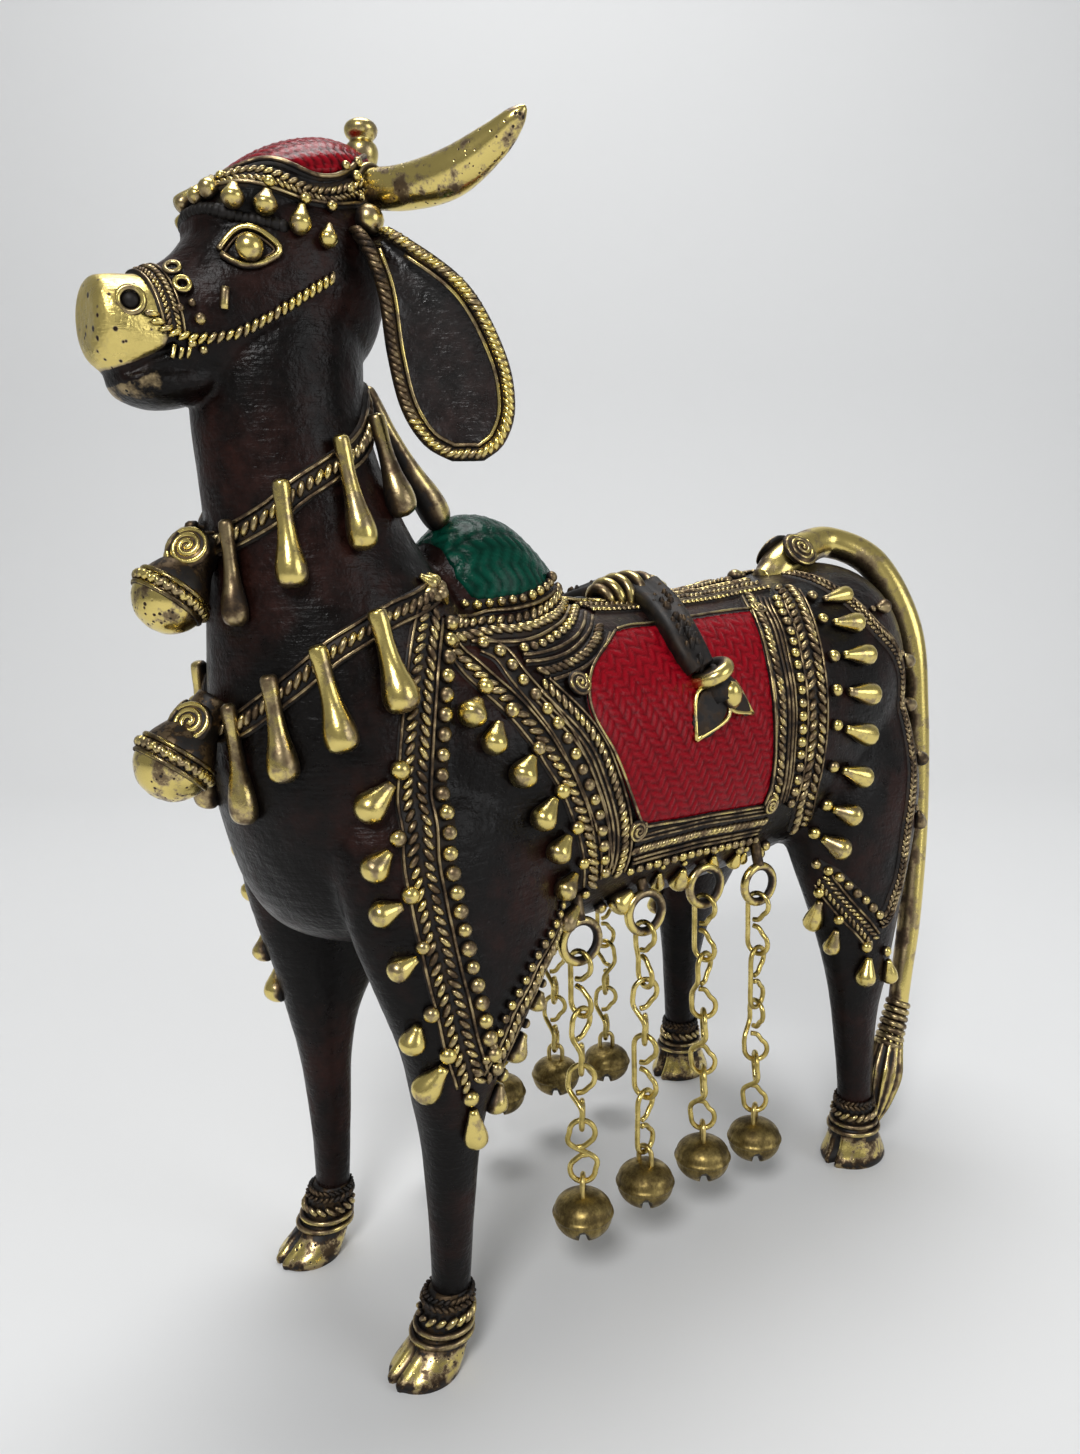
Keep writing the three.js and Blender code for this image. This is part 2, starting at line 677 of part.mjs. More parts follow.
// The cast rings that carry the chains: [x, height of the ring's middle].
const ringSpots = [[-108, 336], [-30, 344], [49, 352], [127, 337]];
const RING_SPREAD = 113; // from the middle of the body, in the same shares
const VIEW_TURN = -39; // most eyes of the links are set to this, degrees from the length of the body
const RING_TURN = -8;
const degrees = (value) => THREE.MathUtils.degToRad(value);
function ringSolid([x, z]) {
  const centre = at(x, -RING_SPREAD, z);
  const radius = (RING_WIDTH - RING_THICKNESS) / 2;
  const turn = degrees(RING_TURN);
  const along = new THREE.Vector3(Math.cos(turn), Math.sin(turn), 0);
  const points = Array.from({ length: 9 }, (_, i) => {
    const angle = (2 * Math.PI * (i + 0.25)) / 9;
    const reach = radius / Math.cos(Math.PI / 9); // so that the flat at the bottom is at the true radius
    return centre.clone().addScaledVector(along, reach * Math.cos(angle)).addScaledVector(Z, reach * Math.sin(angle));
  });
  const top = centre.clone().addScaledVector(Z, radius);
  const seat = meet(hideTarget, at(x, -RING_SPREAD + 6, 0), Z);
  seat.z = Math.max(seat.z, top.z) + RING_THICKNESS;
  return solid(hoop(points, RING_THICKNESS / 2, 5)).add(
    solid(rod([top, seat], [RING_THICKNESS * 0.7, RING_THICKNESS], 5)),
  );
}

function bull() {
  const leftSide = [
    ...plates.map(plate),
    ...yoke.map((line) => cord(...line)),
    ...hangingDrops.map((line) => flankDrop(...line)),
    ...tasselSolids(),
    ...ringSpots.map(ringSolid),
    disc(at(262, -22, 640), new THREE.Vector3(0.1, -0.85, 0.5).normalize(), 17 * SHARE, 5 * SHARE, 7),
    solid(rod(hornPath, hornRadii, 6)),
    solid(ear()),
  ];
  const shapes = [
    hide,
    ...leftSide.flatMap(pair),
    ...headSolids(),
    ...necklaces.flatMap(necklaceSolids),
    throatBell(-405, 640, 26),
    throatBell(-411, 517, 28),
    disc(at(-366, -8, 672), new THREE.Vector3(-0.7, -0.35, 0.6).normalize(), 13 * SHARE, 5 * SHARE, 7),
    disc(at(-370, -8, 549), new THREE.Vector3(-0.7, -0.35, 0.6).normalize(), 13 * SHARE, 5 * SHARE, 7),
    knot(),
    solid(rod(tailPath, tailRadii, 6)),
  ];
  const whole = nostril.reduce((rest, pit) => rest.subtract(pit), joined(shapes));
  return whole.decompose().sort((a, b) => b.volume() - a.volume())[0];
}

// One bent wire link with an upper and a lower eye, each turned about the upright.
function link(length, upperTurn, lowerTurn) {
  const r = (EYE_WIDTH - WIRE) / 2;
  const half = length / 2;
  const eye = [
    [-0.25 * r, 0.65 * WIRE], [0.95 * r, 0.5 * half], [0.52 * r, half], [-0.52 * r, half], [-r, half - 0.85 * r],
  ];
  const place = (turn, up) => ([s, t]) =>
    new THREE.Vector3(s * Math.cos(degrees(turn)), s * Math.sin(degrees(turn)), up * t);
  const points = [...eye.map(place(upperTurn, 1)), ...eye.map(place(lowerTurn, -1)).reverse()];
  return rod(points, points.map(() => WIRE / 2), 4);
}

// A hollow bell with a slit below and a wire loop above, its widest line on z = 0.
function bell(loopTurn) {
  const radius = BELL_WIDTH / 2;
  const shell = (wall, sides, rows) =>
    solid(
      skin(
        rows.map(([r, t]) => {
          const reach = (r * radius - wall) / Math.cos(Math.PI / sides / 2);
          const height = t > 0 ? t * BELL_RISE - wall : t * BELL_DEPTH + wall;
          return oval(new THREE.Vector3(0, 0, t === 0 ? 0 : height), X, Y, reach, reach, sides);
        }),
      ),
    );
  const outer = shell(0, 8, [[0.2, -1], [0.8, -0.5], [1, 0], [0.76, 0.6], [0.26, 1]]);
  const inner = shell(BELL_WALL, 6, [[0.6, -0.8], [0.95, 0.1], [0.45, 0.8]]);
  const slit = new THREE.BoxGeometry(BELL_WIDTH * 0.62, SLIT_WIDTH, SLIT_DEPTH * 2);
  slit.translate(0, 0, -BELL_DEPTH);
  slit.rotateZ(degrees(25));
  const half = (LOOP_WIDTH - LOOP_WIRE) / 2;
  const foot = BELL_RISE - BELL_WALL * 1.5;
  const top = BELL_RISE + LOOP_RISE - LOOP_WIRE / 2;
  const turn = degrees(loopTurn);
  const bent = [[half, foot], [half, top - half * 0.7], [half * 0.5, top]];
  const wire = [...bent.map(([s, t]) => [-s, t]), ...bent.reverse()];
  const loop = rod(
    wire.map(([s, t]) => new THREE.Vector3(s * Math.cos(turn), s * Math.sin(turn), t)),
    wire.map(() => LOOP_WIRE / 2), 4,
  );
  return outer.subtract(inner).subtract(solid(slit)).add(solid(loop)).simplify(SLIVER);
}

const castBrass = new THREE.MeshStandardMaterial({ color: 0x3a2a1e, roughness: 0.42, metalness: 0.7 });
const chainBrass = new THREE.MeshStandardMaterial({ color: 0xb8974a, roughness: 0.32, metalness: 1 });
const bellBrass = new THREE.MeshStandardMaterial({ color: 0x86693a, roughness: 0.45, metalness: 0.9 });

const figure = new THREE.Group();
const add = (geometry, name, material, position, parent) => {
  const mesh = new THREE.Mesh(geometry, material);
  mesh.name = name;
  mesh.position.copy(position);
  parent.add(mesh);
};
const casting = lighten(bull(), BULL_FACETS);
add(casting, "bull", castBrass, new THREE.Vector3(), figure);

// The origin lies below the middle of the length.
casting.computeBoundingBox();
figure.position.x = -(casting.boundingBox.min.x + casting.boundingBox.max.x) / 2;

// How each link's eyes and the bell's loop are turned, in degrees from VIEW_TURN.
const chainTurns = [
  { links: [[-42, -42], [45, 85], [-5, 85], [-5, -5]], loop: 85 },
  { links: [[-48, -62], [15, 80], [-32, -34], [48, 46]], loop: -45 },
  { links: [[-42, -42], [50, 0], [88, 0], [88, 0]], loop: 88 },
  { links: [[-40, -42], [46, 46], [-66, 0], [88, 0]], loop: 70 },
];
for (const [side, sign] of [["left", -1], ["right", 1]]) {
  ringSpots.forEach(([x, z], i) => {
    const { links, loop } = chainTurns[i];
    const turned = (angle) => -sign * (VIEW_TURN + angle);
    const ringBar = z * SHARE - (RING_WIDTH - RING_THICKNESS) / 2;
    const firstTop = ringBar + RING_THICKNESS / 2 + WIRE / 2 + RING_CLEARANCE;
    const overlap = WIRE + CLEARANCE;
    const loopOverlap = (WIRE + LOOP_WIRE) / 2 + CLEARANCE;
    const bellMiddle = BELL_FLOOR_GAPS[i] + BELL_DEPTH;
    const loopTop = bellMiddle + BELL_RISE + LOOP_RISE - LOOP_WIRE / 2;
    const length = (firstTop - loopTop + (links.length - 1) * overlap + loopOverlap) / links.length;
    const chain = new THREE.Group();
    chain.position.set(x * SHARE, sign * RING_SPREAD * SHARE, 0);
    links.forEach(([upper, lower], k) => {
      const middle = firstTop - length / 2 - k * (length - overlap);
      const shape = link(length, turned(upper), turned(lower));
      add(shape, `chain_${side}_${i + 1}_link_${k + 1}`, chainBrass, new THREE.Vector3(0, 0, middle), chain);
    });
    const place = new THREE.Vector3(0, 0, bellMiddle);
    add(geometryFrom(bell(turned(loop))), `bell_${side}_${i + 1}`, bellBrass, place, chain);
    figure.add(chain);
  });
}

export default figure;
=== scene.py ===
# A standing bull in lost-wax cast brass: dark lacquer, painted saddle, cap and hump, and raised
# ropes, beads and drops that follow the hide. Metres, +Z up, the head towards -X.
import math

import bpy
import numpy as np
from mathutils import Matrix, Vector
from mathutils.bvhtree import BVHTree


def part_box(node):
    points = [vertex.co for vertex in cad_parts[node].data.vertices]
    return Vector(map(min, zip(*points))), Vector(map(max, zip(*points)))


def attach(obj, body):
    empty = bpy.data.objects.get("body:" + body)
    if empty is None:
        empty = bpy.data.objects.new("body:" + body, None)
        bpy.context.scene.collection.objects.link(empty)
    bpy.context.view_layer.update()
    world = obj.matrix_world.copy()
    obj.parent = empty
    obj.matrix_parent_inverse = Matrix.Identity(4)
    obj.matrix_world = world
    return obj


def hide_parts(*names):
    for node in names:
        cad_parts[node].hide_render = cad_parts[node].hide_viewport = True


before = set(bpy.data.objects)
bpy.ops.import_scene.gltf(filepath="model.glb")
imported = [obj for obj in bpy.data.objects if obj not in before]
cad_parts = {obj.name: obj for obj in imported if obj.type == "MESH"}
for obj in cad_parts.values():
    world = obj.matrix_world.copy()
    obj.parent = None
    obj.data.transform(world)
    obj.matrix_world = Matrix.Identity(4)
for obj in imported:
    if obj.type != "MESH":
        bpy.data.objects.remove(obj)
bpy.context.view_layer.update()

MM = 0.001
LOW, HIGH = (np.array(corner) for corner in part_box("bull"))
SHARE = (HIGH[2] - LOW[2]) / 1000  # the figure's proportions are in thousandths of its height
MUZZLE_TIP = -449
SHIFT = LOW[0] - MUZZLE_TIP * SHARE
X, Y, Z = np.eye(3)
MIRROR = np.array([1, -1, 1])
BOTH = (np.ones(3), MIRROR)
rng = np.random.default_rng(7)


def at(x, y, z):
    """The place that these shares of the figure stand for."""
    return np.array([x * SHARE + SHIFT, y * SHARE, z * SHARE])


def all_at(rows):
    """The places of rows that start with three shares."""
    return np.array(rows, float)[:, :3] * SHARE + SHIFT * X


def unit(v):
    """The same ways, each of length one."""
    v = np.asarray(v, float)
    return v / np.maximum(np.linalg.norm(v, axis=-1, keepdims=True), 1e-12)


def turned(angle, side, other):
    """The way, or the ways, an angle on from one side towards the other."""
    return np.multiply.outer(np.cos(angle), side) + np.multiply.outer(np.sin(angle), other)


def step_between(low, high, value):
    """A smooth step from 0 at the low value to 1 at the high one."""
    t = np.clip((value - low) / (high - low), 0, 1)
    return t * t * (3 - 2 * t)


# Curves


def through(points, per=12, closed=False):
    """A smooth curve through points, with the same number of places on each stretch."""
    p = np.asarray(points, float)
    if closed:
        q = np.concatenate([p[-1:], p, p[:2]])
    else:
        q = np.concatenate([2 * p[:1] - p[1:2], p, 2 * p[-1:] - p[-2:-1]])
    t = np.linspace(0, 1, per, endpoint=False)[:, None]
    runs = []
    for a, b, c, d in zip(q, q[1:], q[2:], q[3:]):
        square, cube = 2 * a - 5 * b + 4 * c - d, 3 * b - a - 3 * c + d
        runs.append(0.5 * (2 * b + (c - a) * t + square * t**2 + cube * t**3))
    return np.concatenate([*runs, q[-2:-1]])


def gone_along(places):
    """How far along its run each place is."""
    return np.concatenate([[0], np.cumsum(np.linalg.norm(np.diff(places, axis=0), axis=1))])


def shared_out(values, gone, count):
    """The values at evenly spaced places of a run."""
    wanted = np.linspace(0, gone[-1], count)
    return np.stack([np.interp(wanted, gone, column) for column in values.T], axis=1)


def evened(places, step):
    """The same run with its places a step apart."""
    places = np.asarray(places, float)
    gone = gone_along(places)
    return shared_out(places, gone, max(2, round(gone[-1] / step) + 1))


# Forms


class Form:
    """Faces gathered for one object, with how polished each corner is, from 0 to 1; below 0 a corner is
    painted shade, near black.
    """

    def __init__(self):
        self.points, self.quads, self.tris, self.polish = [], [], [], []
        self.count = 0

    def add(self, points, quads=(), tris=(), polish=0.5):
        points = np.asarray(points, float).reshape(-1, 3)
        self.points.append(points)
        self.polish.append(np.broadcast_to(polish, len(points)))
        for kept, faces in ((self.quads, quads), (self.tris, tris)):
            if len(faces):
                kept.append(np.asarray(faces) + self.count)
        self.count += len(points)
        return self

    def arrays(self):
        quads = np.concatenate(self.quads) if self.quads else np.zeros((0, 4), int)
        tris = np.concatenate(self.tris) if self.tris else np.zeros((0, 3), int)
        return np.concatenate(self.points), quads, tris, np.concatenate(self.polish)

    def both_sides(self):
        """Adds the mirror image across the middle plane."""
        points, quads, tris, polish = self.arrays()
        return self.add(points * MIRROR, quads[:, ::-1], tris[:, ::-1], polish)


def mesh_from(name, points, quads, tris=np.zeros((0, 3), int)):
    mesh = bpy.data.meshes.new(name)
    mesh.vertices.add(len(points))
    mesh.vertices.foreach_set("co", np.ascontiguousarray(points, np.float32).ravel())
    corners = np.concatenate([quads.ravel(), tris.ravel()]).astype(np.int32)
    mesh.loops.add(len(corners))
    mesh.loops.foreach_set("vertex_index", corners)
    starts = np.concatenate([np.arange(len(quads)) * 4, len(quads) * 4 + np.arange(len(tris)) * 3])
    mesh.polygons.add(len(starts))
    mesh.polygons.foreach_set("loop_start", starts.astype(np.int32))
    mesh.update(calc_edges=True)
    mesh.polygons.foreach_set("use_smooth", np.ones(len(starts), bool))
    return mesh


def made(form, name, material, nodes=("bull",)):
    """The object of a form, riding on the one body and standing for its CAD nodes."""
    points, quads, tris, polish = form.arrays()
    mesh = mesh_from(name, points, quads, tris)
    mesh.attributes.new("polish", "FLOAT", "POINT").data.foreach_set("value", polish.astype(np.float32))
    mesh.materials.append(material)
    piece = bpy.data.objects.new(name, mesh)
    bpy.context.scene.collection.objects.link(piece)
    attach(piece, "root")
    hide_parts(*nodes)


def wound_faces(rows, sides, closed=False):
    """Faces from each ring to the next, and from the last to the first where they close."""
    here = np.arange(sides)
    after = (here + 1) % sides
    base = np.arange(rows if closed else rows - 1)[:, None] * sides
    ahead = (base + sides) % (rows * sides)
    return np.stack([base + here, base + after, ahead + after, ahead + here], -1)


def loft(rings):
    """Points and faces of a closed skin through rings of equally many points."""
    rings = np.asarray(rings, float)
    rows, sides = rings.shape[:2]
    here = np.arange(sides)
    after = (here + 1) % sides
    quads = wound_faces(rows, sides)
    first, last = rows * sides, (rows - 1) * sides
    near_end = np.stack([after, here, np.full(sides, first)], -1)
    far_end = np.stack([last + here, last + after, np.full(sides, first + 1)], -1)
    tris = np.concatenate([near_end, far_end])
    points = np.concatenate([rings.reshape(-1, 3), rings[[0, -1]].mean(axis=1)])
    a, b, c = points[quads[..., 0]], points[quads[..., 1]], points[quads[..., 3]]
    inside = points.mean(axis=0)
    facing = np.sum(np.cross(b - a, c - a) * (a - inside), axis=-1).sum()
    quads = quads.reshape(-1, 4)
    return (points, quads, tris) if facing > 0 else (points, quads[:, ::-1], tris[:, ::-1])


def grid_faces(rows, columns):
    """Faces of a net of points."""
    a = (np.arange(rows - 1)[:, None] * columns + np.arange(columns - 1)).ravel()
    return np.stack([a, a + 1, a + columns + 1, a + columns], -1)


def square_to(axis, first, second, limit=0.9):
    """Two ways square to an axis and to each other; the first is square to a chosen way too."""
    side = unit(np.cross(axis, first if abs(axis @ first) < limit else second))
    return side, np.cross(axis, side)


def all_round(count, side, other):
    """Ways of length one all round, from one side on to the other."""
    return turned(2 * np.pi * np.arange(count) / count, side, other)


def oval(centre, across, along, half_across, half_along, sides, fullness=2.0):
    """A ring of points; a fullness above 2 makes it squarer."""
    turn = 2 * np.pi * (np.arange(sides) + 0.5) / sides
    s, t = (np.sign(v) * np.abs(v) ** (2 / fullness) for v in (np.cos(turn), np.sin(turn)))
    return centre + np.outer(half_across * s, across) + np.outer(half_along * t, along)


def upright(rows, sides=40):
    """Rings of an upright form: rows of (z, x, y, half length along X, half width along Y)."""
    return [oval(at(x, y, z), X, Y, a * SHARE, b * SHARE, sides) for z, x, y, a, b in through(rows, 8)]


def lying(rows, fullness=2.0, sides=48, per=8, lift=0.0):
    """Rings of a lying form: rows of (x, z, half width along Y, half height along Z)."""
    path = through(rows, per)
    sizes = path[:, 2:] * SHARE + lift
    return [oval(at(x, 0, z), Y, Z, *size, sides, fullness) for (x, z), size in zip(path[:, :2], sizes)]


def ways_along(points, outs, closed=False):
    """At each place of a run: the way on, a way across it, and the way out."""
    p = np.asarray(points, float)
    if closed:
        way = unit(np.roll(p, -1, axis=0) - np.roll(p, 1, axis=0))
    else:
        way = unit(np.gradient(p, axis=0))
    if outs is None:
        outs = np.empty_like(p)
        side = Z if abs(way[0][2]) < 0.9 else X
        for i, w in enumerate(way):
            side = unit(side - w * (side @ w))
            outs[i] = side
    outs = unit(outs - way * np.sum(outs * way, axis=1, keepdims=True))
    return way, np.cross(outs, way), outs


def tube(form, points, radii, sides, closed=False, outs=None, shine=1.0, flutes=0, depth=0.0, least=0.0):
    """A round wire along points. Where the ways out of the hide are given, its top is the polished part."""
    points = np.asarray(points, float)
    radii = np.broadcast_to(radii, len(points))[:, None, None]
    _, across, out = ways_along(points, outs, closed)
    turn = 2 * np.pi * np.arange(sides) / sides
    ridged = 1 + depth * np.cos(flutes * turn) if flutes else np.ones(sides)
    rings = points[:, None] + turned(turn, across, out).swapaxes(0, 1) * ridged[:, None] * radii
    polish = shine
    if outs is not None:
        top = shine * np.maximum(least, step_between(-0.35, 0.75, np.sin(turn)))
        polish = np.tile(top * (1 - 0.45 / depth * (1 + depth - ridged) if flutes else 1), len(points))
    if closed:
        quads = wound_faces(len(points), sides, True).reshape(-1, 4)
        form.add(rings, quads[:, ::-1], polish=polish)
    else:
        skin, quads, tris = loft(rings)
        if outs is not None:
            polish = np.concatenate([polish, [shine * 0.5] * 2])
        form.add(skin, quads, tris, polish)


def ball_template(sides, rows):
    heights = np.pi * (np.arange(1, rows) / rows - 0.5)
    rings = [oval(Z * math.sin(h), X, Y, math.cos(h), math.cos(h), sides) for h in heights]
    points, quads, tris = loft(rings)
    points[-2], points[-1] = -Z, Z
    return points, quads, tris


GRAIN = ball_template(7, 5)
BALL = ball_template(12, 8)


def scatter(form, template, centres, a, b, c, shine):
    """Copies of a unit shape, each with its own three half axes; c points out of the hide."""
    points, quads, tris = template
    centres, a, b, c = (np.asarray(v, float).reshape(-1, 3) for v in (centres, a, b, c))
    placed = centres[:, None] + points @ np.stack([a, b, c], axis=1)
    jump = (np.arange(len(centres)) * len(points))[:, None, None]
    polish = np.tile(shine * step_between(-0.25, 0.45, points[:, 2]), len(centres))
    form.add(placed, (quads + jump).reshape(-1, 4), (tris + jump).reshape(-1, 3), polish)


# The body's stations, as in the CAD model

NECK = [
    [350, -232, 0, 38, 46], [368, -244, 0, 78, 76], [400, -250, 0, 98, 98], [446, -253, 0, 110, 110],
    [500, -253, 0, 120, 114], [564, -257, 0, 116, 105], [629, -269, 0, 102, 88], [679, -286, 0, 83, 73],
    [725, -299, 0, 73, 64], [771, -308, 0, 68, 58], [814, -308, 0, 67, 56], [857, -300, 0, 62, 52],
]
TRUNK = [
    [-286, 482, 93, 105], [-214, 482, 121, 140], [-125, 475, 133, 150], [0, 471, 136, 146],
    [125, 475, 136, 144], [214, 486, 140, 143], [286, 500, 136, 139], [339, 514, 124, 133],
    [384, 521, 100, 110], [412, 524, 56, 66],
]
HUMP = [
    [-196, 618, 20, 30], [-178, 622, 42, 56], [-148, 627, 56, 70], [-112, 626, 58, 68], [-78, 616, 48, 54],
    [-52, 604, 32, 40],
]
HEAD = [
    [-449, 832, 20, 20], [-444, 831, 30, 29], [-430, 828, 34, 35], [-412, 826, 35, 40],
    [-386, 832, 38, 50], [-360, 850, 47, 64], [-329, 866, 54, 78], [-296, 876, 56, 84],
    [-262, 880, 52, 80], [-238, 884, 42, 66], [-224, 886, 24, 42],
]
CHIN = [
    [-436, 799, 12, 9], [-428, 795, 25, 15], [-408, 791, 30, 17], [-384, 794, 31, 17], [-358, 802, 28, 14],
]
CAP = [
    [-373, 900, 14, 8], [-357, 909, 36, 20], [-320, 926, 47, 32], [-280, 937, 47, 37], [-248, 941, 40, 33],
    [-226, 942, 26, 22],
]
HIND_LEG = [
    [570, 306, -40, 62, 40], [536, 306, -50, 95, 59], [429, 304, -80, 104, 66], [357, 297, -98, 92, 54],
    [279, 286, -115, 64, 38], [214, 276, -126, 40, 29], [161, 271, -129, 27, 22], [89, 271, -132, 20, 18],
    [62, 272, -132, 19, 18], [30, 272, -132, 19, 18],
]
FORE_LEG = [
    [530, -224, -50, 56, 30], [505, -223, -62, 86, 42], [464, -222, -79, 104, 50],
    [393, -220, -93, 100, 45], [339, -221, -103, 84, 40], [286, -231, -108, 56, 36],
    [243, -241, -107, 36, 31], [196, -243, -105, 25, 24], [125, -243, -102, 19, 19],
    [60, -245, -101, 16, 16], [30, -249, -101, 16, 16],
]


# Materials


class Paint:
    """The nodes of one material, with a Principled shader at the end."""

    def __init__(self, name):
        self.material = bpy.data.materials.new(name)
        self.material.use_nodes = True
        self.tree = self.material.node_tree
        self.shader = self.tree.nodes["Principled BSDF"]
        self.place = self.node("ShaderNodeTexCoord").outputs["Object"]

    def node(self, kind, inputs=(), **settings):
        node = self.tree.nodes.new(kind)
        for name, value in settings.items():
            setattr(node, name, value)
        for name, value in dict(inputs).items():
            self.join(value, node.inputs[name])
        return node

    def join(self, value, socket):
        if isinstance(value, bpy.types.NodeSocket):
            self.tree.links.new(value, socket)
        else:
            socket.default_value = value

    def noise(self, scale, detail, roughness=0.55, stretch=None):
        place = self.place
        if stretch:
            inputs = {0: place, 1: stretch}
            place = self.node("ShaderNodeVectorMath", inputs, operation="MULTIPLY").outputs[0]
        inputs = {"Vector": place, "Scale": scale, "Detail": detail, "Roughness": roughness}
        return self.node("ShaderNodeTexNoise", inputs).outputs["Fac"]

    def cells(self, scale):
        inputs = {"Vector": self.place, "Scale": scale}
        return self.node("ShaderNodeTexVoronoi", inputs).outputs["Distance"]

    def attribute(self, name):
        return self.node("ShaderNodeAttribute", attribute_name=name).outputs["Fac"]

    def sum(self, a, b, factor=1.0):
        """The first value and the second times the factor."""
        return self.node("ShaderNodeMath", {0: b, 1: factor, 2: a}, operation="MULTIPLY_ADD").outputs[0]

    def times(self, a, b):
        return self.node("ShaderNodeMath", {0: a, 1: b}, operation="MULTIPLY").outputs[0]

    def band(self, value, low, high, to_low=0.0, to_high=1.0):
        """A smooth step between two heights of the value."""
        inputs = {"Value": value, "From Min": low, "From Max": high, "To Min": to_low, "To Max": to_high}
        return self.node("ShaderNodeMapRange", inputs, interpolation_type="SMOOTHSTEP").outputs["Result"]

    def ramp(self, value, stops):
        node = self.node("ShaderNodeValToRGB", {"Fac": value})
        elements = node.color_ramp.elements
        while len(elements) < len(stops):
            elements.new(0.5)
        for element, (place, colour) in zip(elements, stops):
            element.position = place
            element.color = (*colour, 1)
        return node.outputs["Color"]

    def mix(self, factor, a, b):
        node = self.node("ShaderNodeMix", data_type="RGBA")
        for value, socket in ((factor, node.inputs[0]), (a, node.inputs[6]), (b, node.inputs[7])):
            self.join(value, socket)
        return node.outputs[2]

    def bump(self, height, strength, depth):
        inputs = {"Height": height, "Strength": strength, "Distance": depth}
        self.join(self.node("ShaderNodeBump", inputs).outputs["Normal"], self.shader.inputs["Normal"])

    def set(self, **inputs):
        for name, value in inputs.items():
            self.join(value, self.shader.inputs[name.replace("_", " ")])
        return self.material


DARK = (0.006, 0.004, 0.003)
UMBER = (0.030, 0.018, 0.010)
BRONZE = (0.150, 0.104, 0.062)
BRASS = (0.40, 0.31, 0.165)
GOLD = (0.75, 0.60, 0.20)


def thread_brass():
    """Cast threads, beads and drops: dark patina in the hollows, polished metal on top, near black where
    shade is painted.
    """
    paint = Paint("thread_brass")
    polish = paint.sum(paint.attribute("polish"), paint.noise(420, 4), 0.6)
    polish = paint.sum(paint.sum(polish, -0.62), paint.band(paint.noise(190, 4, 0.6), 0.34, 0.58), 0.42)
    stops = [(0.0, DARK), (0.25, UMBER), (0.5, BRONZE), (0.75, BRASS), (1.0, GOLD)]
    paint.set(
        Base_Color=paint.ramp(polish, stops),
        Metallic=paint.band(polish, 0.1, 0.45, 0.35, 1.0),
        Roughness=paint.band(polish, 0.2, 0.95, 0.55, 0.24),
    )
    paint.bump(paint.noise(1500, 3), 0.35, 0.12 * MM)
    return paint.material


def hide_lacquer(name, gloss):
    """Dark brown-black lacquer with red-brown patches, worn to brass where the polish is high."""
    paint = Paint(name)
    patches = paint.band(paint.noise(34, 5, 0.62), 0.42, 0.68)
    streaks = paint.noise(240, 4, 0.7)
    mottled = paint.times(patches, paint.band(streaks, 0.3, 0.7, 0.35, 1.0))
    lacquer = paint.mix(mottled, (0.0022, 0.0014, 0.0011, 1), (0.026, 0.0072, 0.0048, 1))
    pits = paint.band(paint.sum(paint.cells(420), paint.noise(60, 3), 0.6), 0.36, 0.50)
    polish = paint.sum(paint.attribute("polish"), paint.noise(160, 4, 0.65), 0.8)
    polish = paint.times(paint.sum(polish, -0.4), paint.sum(0.45, pits, 0.55))
    bare = paint.band(polish, 0.42, 0.56)
    brass = paint.ramp(polish, [(0.4, BRONZE), (0.62, BRASS), (0.9, GOLD)])
    paint.set(
        Base_Color=paint.mix(bare, lacquer, brass),
        Metallic=bare,
        Roughness=paint.band(streaks, 0.2, 0.8, 0.22, 0.46),
        Specular_IOR_Level=gloss,
    )
    dents = paint.sum(paint.noise(130, 4), paint.noise(900, 3), 0.3)
    brushed = paint.sum(dents, paint.noise(170, 4, 0.6, (0.5, 0.5, 4.0)), 0.35)
    paint.bump(brushed, 0.75, 0.8 * MM)
    return paint.material


def polished_brass():
    """Horns, hooves and throat bells: bright metal with small dark casting pits."""
    paint = Paint("polished_brass")
    pits = paint.band(paint.sum(paint.cells(650), paint.noise(75, 3), 0.6), 0.36, 0.50)
    patches = paint.band(paint.noise(210, 5, 0.68), 0.37, 0.57)
    worn = paint.sum(paint.attribute("polish"), patches, 0.6)
    worn = paint.times(paint.sum(worn, -0.48), paint.sum(0.3, pits, 0.7))
    stops = [(0.12, DARK), (0.3, UMBER), (0.5, BRONZE), (0.66, BRASS), (0.95, GOLD)]
    paint.set(
        Base_Color=paint.ramp(worn, stops),
        Metallic=paint.band(worn, 0.15, 0.4, 0.3, 1.0),
        Roughness=paint.band(worn, 0.3, 0.9, 0.5, 0.2),
    )
    paint.bump(paint.sum(paint.noise(260, 4), pits, 0.5), 0.4, 0.3 * MM)
    return paint.material


def enamel(name, deep, bright):
    """Glossy paint that has filled a woven ground."""
    paint = Paint(name)
    tone = paint.sum(paint.attribute("polish"), paint.noise(180, 4), 0.35)
    paint.set(
        Base_Color=paint.mix(paint.band(tone, 0.15, 1.0), (*deep, 1), (*bright, 1)),
        Roughness=paint.band(paint.noise(700, 3), 0.3, 0.7, 0.12, 0.30),
        Specular_IOR_Level=0.11,
    )
    paint.bump(paint.sum(paint.noise(260, 4), paint.noise(900, 4), 0.5), 0.6, 0.45 * MM)
    return paint.material


def wire_brass():
    """Drawn wire: bright yellow brass with a dull film here and there."""
    paint = Paint("wire_brass")
    film = paint.noise(300, 4)
    stops = [(0.3, (0.36, 0.27, 0.075)), (0.55, (0.66, 0.52, 0.17)), (0.8, (0.80, 0.66, 0.27))]
    paint.set(
        Base_Color=paint.ramp(film, stops),
        Metallic=1.0,
        Roughness=paint.band(film, 0.3, 0.7, 0.36, 0.22),
    )
    paint.bump(paint.noise(1100, 3), 0.2, 0.1 * MM)
    return paint.material


